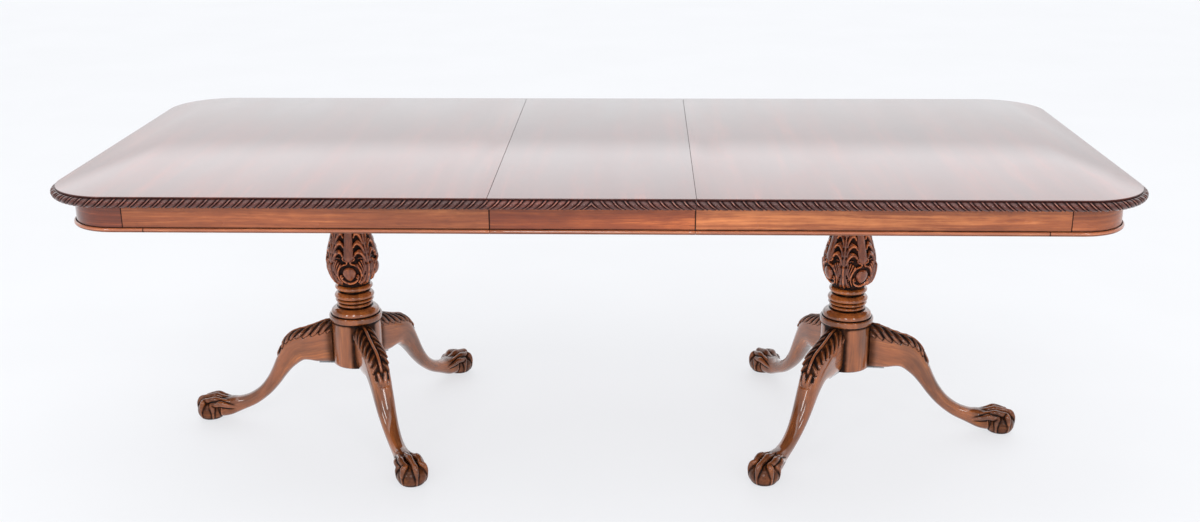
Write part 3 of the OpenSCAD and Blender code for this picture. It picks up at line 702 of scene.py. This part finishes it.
def dense(points, step):
    """Adds points along a profile so that no step is longer than about step mm."""
    out = [points[0]]
    for a, b in zip(points[:-1], points[1:]):
        n = max(1, int(math.hypot(b[0] - a[0], b[1] - a[1]) / step))
        for k in range(1, n + 1):
            out.append((a[0] + (b[0] - a[0]) * k / n, a[1] + (b[1] - a[1]) * k / n))
    return out


def upright_solid(name, side_x, x, y, z, dark, sharp):
    """Closes a grid of points round an upright axis and moves it to side_x; the grain runs upright."""
    verts = np.stack([x + side_x, y, z], 2).reshape(-1, 3)
    faces = tube_faces(*x.shape) + end_caps(*x.shape, True)
    return solid(name, verts, faces, np.stack([z, x, y], 2), dark, sharp)


def turned_column(name, side_x, leg_turns):
    """The turned parts of a column, with painted shade in the grooves, beside the legs, under the collar and
    at the foot of the drum, and a little painted highlight on the rounds.
    """
    lower = dense([(0.5, DRUM_LOW), (57, DRUM_LOW), (60.5, DRUM_LOW + 0.9), (63, DRUM_LOW + 3.2),
                   (DRUM_RADIUS, DRUM_LOW + 6.5), (DRUM_RADIUS, 276), (DRUM_RADIUS, DRUM_TOP)], 6)
    middle = COLLAR + ring(330.0, 338.6, 38.6, 7.2) + ring(341.6, 350.0, 40.2, 8.8) + OVOLO
    middle += ring(373.4, 387.4, 38.6, 9.8) + [(38, 389.5), (34, 396)]
    upper = [(34, 594), (38, 598)] + ring(600, 614, 41, 6) + [tuple(p) for p in spline(CAP, 4)]
    tenon = [(25, CLEAT_LOW), (25, CLEAT_LOW + 31), (0.5, CLEAT_LOW + 31)]
    r, z = np.array(lower + dense(middle, 1.3) + dense(upper, 1.8) + tenon, float).T
    sides = 128
    angle = np.arange(sides) * 2 * math.pi / sides
    x, y, zz = np.outer(r, np.cos(angle)), np.outer(r, np.sin(angle)), np.repeat(z[:, None], sides, 1)
    evened = np.array([np.average(r, weights=bell((z - h) / 5.0) + 1e-9) for h in z])
    # painted shade in the grooves; a little painted highlight on the rounds, where the value drops below zero
    groove = np.clip((evened - r - 0.2) / 1.3, -1, 1)
    groove[(z < DRUM_TOP + 7) | (z > 616)] = 0
    dark = np.repeat(np.where(groove > 0, groove, groove * 0.3)[:, None], sides, 1)
    nearest = np.full(sides, 9.0)
    for a in leg_turns:
        gap = np.abs((angle - math.radians(a) + math.pi) % (2 * math.pi) - math.pi) - math.radians(24)
        nearest = np.minimum(nearest, np.maximum(gap, 0))
    # painted shade on the drum beside each leg, under the collar and at its foot
    drum = (zz > DRUM_LOW) & (zz < COLLAR_LOW)
    for shade in (falling(0.0, 0.26, nearest)[None, :] * 0.8,
                  falling(0, 9, COLLAR_LOW - zz) * 0.7,
                  falling(0, 5, zz - DRUM_LOW) * 0.6):
        dark = np.maximum(dark, drum * shade)
    return upright_solid(name, side_x, x, y, zz, dark, 38)


def stroke_height(u, z, points, widths, height, power=0.5):
    """Height field of a rounded ridge along a smooth line."""
    line = spline(points, 5)
    wide = np.interp(np.linspace(0, 1, len(line)), np.linspace(0, 1, len(widths)), widths)
    best = np.full(u.shape, -1.0)
    for i in range(len(line) - 1):
        a, b = line[i], line[i + 1]
        d = b - a
        t = np.clip(((u - a[0]) * d[0] + (z - a[1]) * d[1]) / (d @ d + 1e-9), 0, 1)
        away = np.hypot(u - a[0] - t * d[0], z - a[1] - t * d[1])
        w = wide[i] + (wide[i + 1] - wide[i]) * t
        best = np.maximum(best, 1 - (away / w) ** 2)
    return np.where(best > 0, height * np.clip(best, 0, 1) ** power, 0.0)


def vase_relief(u, z):
    """Height of the acanthus carving; u is the distance round from the middle of a cabochon, z the height."""
    u = np.abs(u)
    h = np.zeros(u.shape)

    def add(points, widths, height, power=0.5):
        nonlocal h
        h = np.maximum(h, stroke_height(u, z, points, widths, height, power))

    # leaf midrib, full height, with its two side veins
    add([(LEAF_MIDDLE, at) for at in (396, 450, 520, 600)], [4.5, 4.2, 4.4, 5.0], 7.0)
    add([(43.5, 398), (45.5, 430), (46, 470)], [2.4, 2.2, 1.4], 5.0)
    # smooth drop between the leaves
    add([(0, 476), (0, 492), (0, 520), (0, 560), (0, 604)], [15.0, 15.5, 15.5, 18.0, 21], 6.4, 0.4)
    # lobes of the leaves, each with two ribs
    for base, rise, tip in ((462, 25, 17), (483, 26, 15.5), (506, 27, 18), (532, 26, 21), (556, 25, 25)):
        add([(46, base), (40, base + rise * 0.62), (31, base + rise * 0.92), (tip + 5, base + rise * 0.9),
             (tip, base + rise * 0.62)], [4.4, 5.0, 5.2, 4.6, 2.8], 6.6)
        add([(46.5, base + 9), (41, base + rise * 0.85), (34, base + rise * 1.1),
             (tip + 9, base + rise * 1.12)], [2.6, 2.6, 2.4, 1.4], 5.6)
        add([(46, base - 7), (41.5, base + 3), (34, base + 9), (tip + 9, base + 8)],
            [2.4, 2.2, 2.0, 1.0], 3.2)
    # fluted fan beside the scroll arms
    for a, b in (((43, 436), (39.5, 464)), ((41, 430), (33.5, 464)), ((39, 424), (27.5, 460)),
                 ((37.5, 418), (22, 455))):
        mid = ((a[0] + b[0]) / 2 + 1.2, (a[1] + b[1]) / 2)
        add([a, mid, b], [1.7, 2.5, 2.7], 5.8)
    # scroll arms over the cabochon, each with a small curl at the top
    add([(7.5, 465), (4.2, 461), (7.0, 456.5), (13, 455), (20, 451), (27, 443), (31.5, 430), (31.5, 415),
         (26.5, 403)], [2.6, 2.4, 2.4, 2.6, 2.8, 2.8, 2.8, 2.4, 1.8], 6.4)
    add([(7.5, 465), (13, 466), (16, 471), (13, 476)], [2.4, 2.4, 2.2, 1.4], 6.0)
    # C scroll under it, with a curled end
    add([(19.5, 419), (23.0, 417), (25.4, 421), (23.4, 425.5), (20.5, 424)], [2.4, 2.4, 2.4, 2.0, 1.4], 6.4)
    add([(25, 422), (23.5, 412), (18, 405), (9.5, 401), (0, 399.5)], [2.2, 2.4, 2.4, 2.3, 2.2], 5.6)
    # leaf tips along the bottom
    add([(38, 396), (41, 408), (42, 424)], [2.8, 2.6, 1.4], 5.0)
    add([(33, 396), (36, 404), (37.5, 414)], [2.2, 2.0, 1.0], 4.4)
    # cabochon, a little narrower below
    wide = 19.5 - np.clip(430 - z, 0, 24) * 0.3
    egg = 1 - (u / wide) ** 2 - ((z - 428) / 20.5) ** 2
    h = np.maximum(h, np.where(egg > 0, 7.6 * np.sqrt(np.clip(egg, 0, 1)), 0))
    return h


def blur(field, sigma):
    """Gaussian blur along both axes; wraps round the second."""
    n = int(3 * sigma) + 1
    k = np.exp(-0.5 * (np.arange(-n, n + 1) / sigma) ** 2)
    k /= k.sum()
    for axis, mode in ((0, "edge"), (1, "wrap")):
        pad = [(0, 0), (0, 0)]
        pad[axis] = (n, n)
        padded = np.pad(field, pad, mode=mode)
        field = np.apply_along_axis(lambda v: np.convolve(v, k, "valid"), axis, padded)
    return field


def carved_vase(name, side_x, face_turn):
    """The carved vase: four leaves with a cabochon between each pair."""
    profile = spline(VASE, 24)
    lengths = distances(profile)
    rows, cols = int(lengths[-1] / 0.95), 424
    at = np.linspace(0, lengths[-1], rows)
    r, z = (np.interp(at, lengths, profile[:, axis]) for axis in (0, 1))
    tangent = np.gradient(np.stack([r, z], 1), axis=0)
    tangent /= np.linalg.norm(tangent, axis=1)[:, None]
    angle = np.arange(cols) * 2 * math.pi / cols
    cell = (angle + math.pi / 4) % (math.pi / 2) - math.pi / 4
    u = np.repeat((cell * VASE_GIRTH)[None, :], rows, 0)
    zz = np.repeat(z[:, None], cols, 1)
    h = blur(vase_relief(u, zz), 0.7)
    fade = smoothstep(392, 397, zz) * (1 - smoothstep(590, 599, zz) * 0.7)
    swell = bell((np.abs(u) - LEAF_MIDDLE) / 13) * smoothstep(397, 408, zz)
    swell = swell * falling(452, 458, zz)
    shift = (1.2 * h - 5.6 + 3.2 * swell) * fade
    # painted shade in the hollows and on the ground of the carving, a painted highlight on its high ridges
    # where the value drops below zero, and a little darker all over
    dark = np.clip((blur(h, 5.0) - h) / 1.9, -1, 1) + np.clip((2.4 - h) / 2.4, 0, 0.55)
    dark = np.where(dark < 0, dark * 0.7, dark) + 0.1
    r = r[:, None] + tangent[:, 1:2] * shift
    z = z[:, None] - tangent[:, 0:1] * shift
    angle = angle[None, :] + math.radians(face_turn)
    x, y = r * np.cos(angle), r * np.sin(angle)
    return upright_solid(name, side_x, x, y, z, dark, 75)


# ---------------------------------------------------------------- legs

# Stations of the leg: radius and height of its top, of its underside, then width and squareness
LEG = np.array([
    [60, 285, 60, 170, 52, 3.4], [84, 280, 84, 170, 53, 3.4], [108, 270, 107, 170, 55, 3.4],
    [138, 259, 126, 173, 57, 3.2], [168, 249, 139, 173, 57, 3.0], [190, 230, 149, 169, 56, 2.8],
    [205, 204, 162, 160, 54, 2.7], [218, 177, 177, 147, 52, 2.6], [232, 147, 195, 126, 50, 2.4],
    [248, 119, 216, 99, 46, 2.3], [270, 92, 243, 70, 41, 2.2], [298, 72, 280, 42, 37, 2.2],
    [326, 62, 318, 24, 38, 2.3], [352, 60, 350, 10, 46, 2.5], [374, 58, 374, 6, 54, 2.6],
], float)
LEG_TOP, LEG_UNDER = LEG[:, 0:2], LEG[:, 2:4]
BALL = (407.0, 0.0, 21.0)   # centre of the ball the claw holds
VOXEL = 1.2             # of the remesh that joins body, ball and toes, in mm
FOOT_LOW = 2.0          # the glides hold the feet this far off the floor


def leg_body():
    """Closed tube of the leg from the drum to inside the foot, as vertices and faces."""
    sides = 64
    a = np.arange(sides) * 2 * math.pi / sides
    c, s = np.cos(a), np.sin(a)
    rings = []
    for row in spline(LEG, 7):
        top, under, (width, power) = row[:2], row[2:4], row[4:]
        px = np.sign(c) * np.abs(c) ** (2 / power)
        py = np.sign(s) * np.abs(s) ** (2 / power)
        upright = (top + under)[None, :] / 2 + (top - under)[None, :] / 2 * px[:, None]
        rings.append(np.stack([upright[:, 0], py * width / 2, upright[:, 1]], 1))
    return np.concatenate(rings), tube_faces(len(rings), sides) + end_caps(len(rings), sides, True)


def ball_mesh(centre, radius, segments, rings):
    """A closed ellipsoid as vertices and faces."""
    radius = np.broadcast_to(np.asarray(radius, float), (3,))
    lat = np.linspace(-math.pi / 2, math.pi / 2, rings + 1)[1:-1]
    lon = np.arange(segments) * 2 * math.pi / segments
    grid = np.stack([np.outer(np.cos(lat), np.cos(lon)), np.outer(np.cos(lat), np.sin(lon)),
                     np.outer(np.sin(lat), np.ones(segments))], 2).reshape(-1, 3)
    verts = np.vstack([grid * radius, [[0, 0, -radius[2]], [0, 0, radius[2]]]]) + np.asarray(centre, float)
    faces = tube_faces(len(lat), segments)
    south, north = len(grid), len(grid) + 1
    last = (len(lat) - 1) * segments
    for j in range(segments):
        k = (j + 1) % segments
        faces.append((south, j, k)[::-1])
        faces.append((north, last + j, last + k))
    return verts, faces


def toe_chains():
    """Centre lines and radii of the five toes: tendon and knuckles, then the claw round the ball."""
    chains = []
    cx = BALL[0]
    for azimuth in (0, 60, -60, 112, -112):
        c, s = math.cos(math.radians(azimuth)), math.sin(math.radians(azimuth))
        if azimuth == 0:
            rows = [(322, 0, 51, 6), (350, 0, 56.5, 6.2), (376, 0, 62, 6.8), (392, 0, 65.5, 8.6),
                    (404, 0, 64, 7.4)]
            claw = ((17, 60, 6.4), (26, 55, 7.6), (33, 43, 6.2), (35.4, 30, 4.4), (34.8, 17, 3.6),
                    (31.6, 7, 2.8))
        elif abs(azimuth) < 90:
            rows = [(327, 10, 48, 5.8), (352, 14, 53, 6.2), (374, 18, 58, 6.8), (390, 21, 62, 8.4),
                    (cx + 4 * c - 5, 22, 60, 7.2)]
            claw = ((22, 56.5, 6.4), (29, 51, 7.6), (34.4, 38, 6.0), (35.6, 26, 4.4), (34.6, 15, 3.6),
                    (31.6, 7, 2.8))
        else:
            rows = [(334, 15, 38, 6.4), (356, 21, 44, 6.8), (373, 26, 51, 8.2), (383, 29, 50, 7.2)]
            claw = ((30, 47, 7.6), (34.6, 36, 6.2), (35.8, 25, 4.6), (34.8, 14, 3.6), (31.8, 7, 2.8))
        side = math.copysign(1, azimuth)
        line = spline([(x, y * side, z, w) for x, y, z, w in rows]
                      + [(cx + q * c, q * s, z, w) for q, z, w in claw], 6)
        line[:, 2] -= 0.14 * np.maximum(line[:, 2] - 28, 0)
        chains.append(line)
    return chains


def fused(name, parts):
    """Joins closed meshes in one voxel remesh; returns the mesh and its vertices in mm."""
    verts, faces, base = [], [], 0
    for v, f in parts:
        verts.append(v)
        faces += [tuple(i + base for i in face) for face in f]
        base += len(v)
    rough = new_object(name + "_rough", smooth_mesh(name + "_rough", np.vstack(verts), faces))
    remesh = rough.modifiers.new("fuse", "REMESH")
    remesh.mode = "VOXEL"
    remesh.voxel_size = VOXEL * MM
    bpy.context.view_layer.update()
    mesh = bpy.data.meshes.new_from_object(rough.evaluated_get(bpy.context.evaluated_depsgraph_get()))
    mesh.name = name
    bpy.data.objects.remove(rough)
    return mesh, read(mesh.vertices, "co") / MM


def beside(line, co):
    """Place of each point along a line in the XZ plane, and its distance above the line."""
    near = np.argmin((co[:, 0:1] - line[None, :, 0]) ** 2 + (co[:, 2:3] - line[None, :, 1]) ** 2, axis=1)
    direction = np.gradient(line, axis=0)
    direction /= np.linalg.norm(direction, axis=1)[:, None]
    dx, dz = co[:, 0] - line[near, 0], co[:, 2] - line[near, 1]
    ahead, rise = direction[near].T
    return distances(line)[near] + dx * ahead + dz * rise, dz * ahead - dx * rise


def leg_mesh():
    """One leg on local axes, X outward: body, ball, toes, then the acanthus knee."""
    parts = [leg_body(), ball_mesh(BALL, (37.2, 37.2, 29.5), 48, 30),
             ball_mesh((374, 0, 26), (22, 25, 21), 32, 20)]
    for chain in toe_chains():
        parts += [ball_mesh(p[:3], p[3], 16, 10) for p in chain]
    mesh, co = fused("cabriole_leg", parts)
    edges = read(mesh.edges, "vertices", int, 2)
    degree = np.bincount(edges.ravel(), minlength=len(co))[:, None]

    def relax(values, rounds, weight=0.5):
        for _ in range(rounds):
            total = np.zeros_like(values)
            np.add.at(total, edges[:, 0], values[edges[:, 1]])
            np.add.at(total, edges[:, 1], values[edges[:, 0]])
            values = values + weight * (total / degree - values)
        return values

    def settle(co):
        """Puts the vertices in the mesh, off the floor, and returns their normals."""
        co[:, 2] = np.maximum(co[:, 2], FOOT_LOW)
        mesh.vertices.foreach_set("co", (co * MM).ravel())
        mesh.update()
        return read(mesh.vertex_normals, "vector", np.float32).astype(float)

    co = relax(co, 3)
    shin = (smoothstep(215, 240, co[:, 0]) * falling(296, 322, co[:, 0]))[:, None]
    co = co + shin * (relax(co, 30) - co)
    normal = settle(co)
    relief, knee_shade_and_highlight = knee_leaf(co)
    co = relax(co + normal * relief[:, None], 1, 0.35)
    in_drum = np.hypot(co[:, 0], co[:, 1]) < DRUM_RADIUS - 2
    co[in_drum, 0] = np.maximum(co[in_drum, 0], DRUM_RADIUS - 4)
    normal = settle(co)
    hollow = relax(np.einsum("ij,ij->i", relax(co, 9) - co, normal)[:, None], 2)[:, 0]
    # grain follows the leg from the root down the shin
    middle = np.vstack([spline((LEG_TOP + LEG_UNDER) / 2, 6), [[440, 28]]])
    paint(mesh, np.stack([*beside(middle, co), co[:, 1]], 1), leg_shade_and_highlight(co, hollow, knee_shade_and_highlight))
    mesh.shade_smooth()
    return mesh


def leg_shade_and_highlight(co, hollow, knee_shade_and_highlight):
    """Painted shade in the hollows of the foot and knee, near the floor, beside the drum and along the
    underside, with the whole foot darker and a painted highlight on the leaf's ridges.
    """
    x, _, z = co.T
    foot = smoothstep(312, 345, x)
    # painted shade between the toes, over the front of the foot and near the floor; the whole foot darker
    toes = np.where(hollow > 0, hollow / 0.3, hollow / 0.8) * foot + foot * 0.42
    toes = toes + smoothstep(360, 396, x) * 0.22 + foot * falling(2, 12, z) * 0.2
    under = np.interp(x, LEG_UNDER[:, 0], LEG_UNDER[:, 1])
    # painted shade beside the drum and along the underside
    root = np.maximum(falling(62, 92, x) * 0.62,
                      0.4 * falling(0, 9, z - under) * falling(150, 230, x))
    leaf = np.where(np.abs(knee_shade_and_highlight) > 0.01, knee_shade_and_highlight, 0)
    dark = np.where(foot > 0.5, toes, 0) * foot + (1 - foot) * leaf
    return np.maximum(dark, np.where(knee_shade_and_highlight < -0.05, dark, root * (1 - foot)))


def knee_leaf(co):
    """Relief of the acanthus leaf that lies over the knee, with painted shade in its hollows and in the
    groove round it, and a painted highlight on its ridges.
    """
    s, above = beside(spline(LEG_TOP, 8), co)
    w = np.abs(co[:, 1]) + 0.9 * np.maximum(-above, 0)
    length, pitch = 205.0, 25.0
    half = np.interp(s, [-5, 0, 40, 90, 130, 165, 190, length], [50, 50, 48, 43, 35, 27, 21, 9])
    phase = np.mod((s - 0.8 * w - 0.007 * w * w) / pitch, 1.0)
    ragged = np.abs(2 * phase - 1)
    edge = half - 7.0 * ragged ** 1.6 - 1.6 * (np.abs(np.mod(phase * 3, 1.0) - 0.5) * 2) ** 2
    inside = falling(-0.8, 0.8, w - edge) * smoothstep(-2, 2, s)
    inside = inside * falling(length - 3, length, s)
    # lobes with two veins each, on either side of a rib
    lobe = dome(ragged / 0.86)
    vein = bell((phase - 0.38) / 0.045) + bell((phase - 0.66) / 0.045)
    curl = smoothstep(0.35, 0.95, w / np.maximum(half, 1)) * 1.8
    height = (5.2 + curl) * lobe - 1.5 * vein * lobe - 2.2
    rib = dome(w / 4.2)
    height = np.maximum(height * smoothstep(3.5, 8, w), 4.6 * rib) - 2.2 * bell((w - 5.6) / 1.3)
    # three drops at the tip
    tip = smoothstep(158, 170, s)
    centre = 9.4 - 4.0 * smoothstep(166, 200, s)
    drop = dome((w - centre) / 5.8) * smoothstep(156, 168, s)
    drop = drop * falling(188, 202, s) + 0.5 * rib * falling(176, 198, s)
    outer = dome((w - half) / 3.6 + 1) * falling(172, 184, s)
    height = height * (1 - tip) + tip * (5.2 * np.maximum(drop, 0.7 * outer) - 1.4)
    # a groove round the leaf sets it off from the knee
    rim = bell((w - edge - 1.2) / 1.5) * smoothstep(0, 6, s)
    rim = rim * falling(length - 2, length + 5, s)
    ending = smoothstep(length - 34, length - 8, s)
    # painted shade in the leaf's hollows and in the groove round it, and a painted highlight on its ridges
    # where the value drops below zero; both fade at the tip
    dark = inside * (1.2 - 1.3 * np.clip((height + 0.2) / 5.0, 0, 1)) * (1 - 0.75 * ending)
    dark = dark + 0.95 * rim * (1 - inside) * (1 - 0.9 * ending)
    return height * inside - 1.3 * rim, dark


def pedestals():
    """Column, vase and three legs on each side."""
    leg = leg_mesh()
    for side, x, turn, face, names in (
        ("left", -PEDESTAL_X, LEFT_TURN, LEFT_FACE, ("outer", "front", "back")),
        ("right", PEDESTAL_X, RIGHT_TURN, RIGHT_FACE, ("outer", "back", "front")),
    ):
        body, column, finish = side + "_half", side + "_column", "pedestal_mahogany"
        turns = [turn, turn + 120, turn + 240]
        finish_piece(turned_column(side + "_turned_column", x, turns), body, TURNED_WOOD, column)
        finish_piece(carved_vase(side + "_carved_vase", x, face), body, VASE_WOOD, column)
        for name, a in zip(names, turns):
            piece = new_object(f"{side}_{name}_cabriole", leg)
            piece.matrix_world = (Matrix.Translation((x * MM, 0, 0))
                                  @ Matrix.Rotation(math.radians(a), 4, "Z"))
            finish_piece(piece, body, LEG_WOOD, f"{side}_{name}_leg")


def carried_over():
    """Better materials for the frame's own nodes that stay in view."""
    for name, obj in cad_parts.items():
        if obj.hide_render:
            continue
        if "leaf_pins" in name:
            material = BRASS
        elif "screws" in name or "pins" in name or "plate" in name:
            material = STEEL
        elif name.endswith("pinion") or "glides" in name:
            material = NYLON
        elif "tie" in name or "bearer" in name:
            material = BEECH_Y
        else:
            material = BEECH_X
        for place in obj.material_slots:
            place.material = material


# ---------------------------------------------------------------- studio and camera

def studio_floor():
    size = 40.0
    mesh = bpy.data.meshes.new("studio_floor")
    mesh.from_pydata([(-size, -size, 0), (size, -size, 0), (size, size, 0), (-size, size, 0)], [],
                     [(0, 1, 2, 3)])
    m = Nodes("pale_floor")
    cloud = m.ramp(m.noise(m.place(), 1.5, 2), 0.3, 0.7)
    m.set(Base_Color=m.mix(cloud, rgb(124, 124, 125), rgb(127, 127, 128)), Roughness=0.6,
          Specular_IOR_Level=0.2, Emission_Color=(0.955, 0.97, 1.0, 1), Emission_Strength=0.67)
    mesh.materials.append(m.material)
    new_object("studio_floor", mesh)


def studio_world():
    """A pale room, with a brighter wall behind the table that the polished top reflects."""
    world = bpy.data.worlds.new("studio")
    bpy.context.scene.world = world
    world.use_nodes = True
    tree = world.node_tree
    back = tree.nodes["Background"]
    back.inputs[0].default_value = (0.965, 0.98, 1.0, 1)
    ahead = tree.nodes.new("ShaderNodeSeparateXYZ")
    tree.links.new(tree.nodes.new("ShaderNodeTexCoord").outputs["Generated"], ahead.inputs[0])
    light = tree.nodes.new("ShaderNodeMath")
    light.operation = "MULTIPLY_ADD"
    light.inputs[2].default_value = 0.78
    for k, (axis, limits) in enumerate(((Z, (0.22, 0.275, 0.20, 0.86)), (Y, (0.2, 0.6, 0, 1)))):
        node = tree.nodes.new("ShaderNodeMapRange")
        set_range(node, *limits)
        tree.links.new(ahead.outputs[axis], node.inputs["Value"])
        tree.links.new(node.outputs[0], light.inputs[k])
    tree.links.new(light.outputs[0], back.inputs[1])


def studio_lamps():
    """A large overhead panel, a front panel kept out of reflections, and three small lamps."""
    lamp("overhead", (0, -1.2, 4.4), (0, 0, 0), (7, 4), 95)
    lamp("front_panel", (0, -6.5, 2.3), (0, 0, 0.5), (9, 4), 184).visible_glossy = False
    for name, x in (("flash_left", -4.4), ("flash_middle", -0.45), ("flash_right", 3.8)):
        lamp(name, (x, -5.5, 3.8), (0, 0, 0.45), (0.9, 2.0), 48)


def lamp(name, place, target, size, power):
    data = bpy.data.lights.new(name, "AREA")
    data.shape = "RECTANGLE"
    data.size, data.size_y = size
    data.energy = power
    obj = new_object(name, data)
    obj.location = place
    obj.rotation_euler = (Vector(target) - Vector(place)).to_track_quat("-Z", "Y").to_euler()
    obj.visible_camera = False
    return obj


def camera():
    pitch, yaw, roll = (math.radians(a) for a in (18.13, -1.8059, -0.2643))
    ahead = Vector((math.sin(yaw) * math.cos(pitch), math.cos(yaw) * math.cos(pitch), -math.sin(pitch)))
    right = Vector((math.cos(yaw), -math.sin(yaw), 0))
    up = right.cross(ahead)
    data = bpy.data.cameras.new("camera")
    data.sensor_width = 36
    data.lens = 41.55
    data.clip_end = 200
    obj = new_object("camera", data)
    c, s = math.cos(roll), math.sin(roll)
    turned = Matrix((c * right + s * up, c * up - s * right, -ahead)).transposed()
    obj.matrix_world = Matrix.Translation((0.1069, -3.3597, 1.5494)) @ turned.to_4x4()
    bpy.context.scene.camera = obj


half_edges()
leaf_parts()
pedestals()
carried_over()
studio_floor()
studio_world()
studio_lamps()
camera()
bpy.context.scene.view_settings.view_transform = "Standard"
bpy.context.view_layer.update()
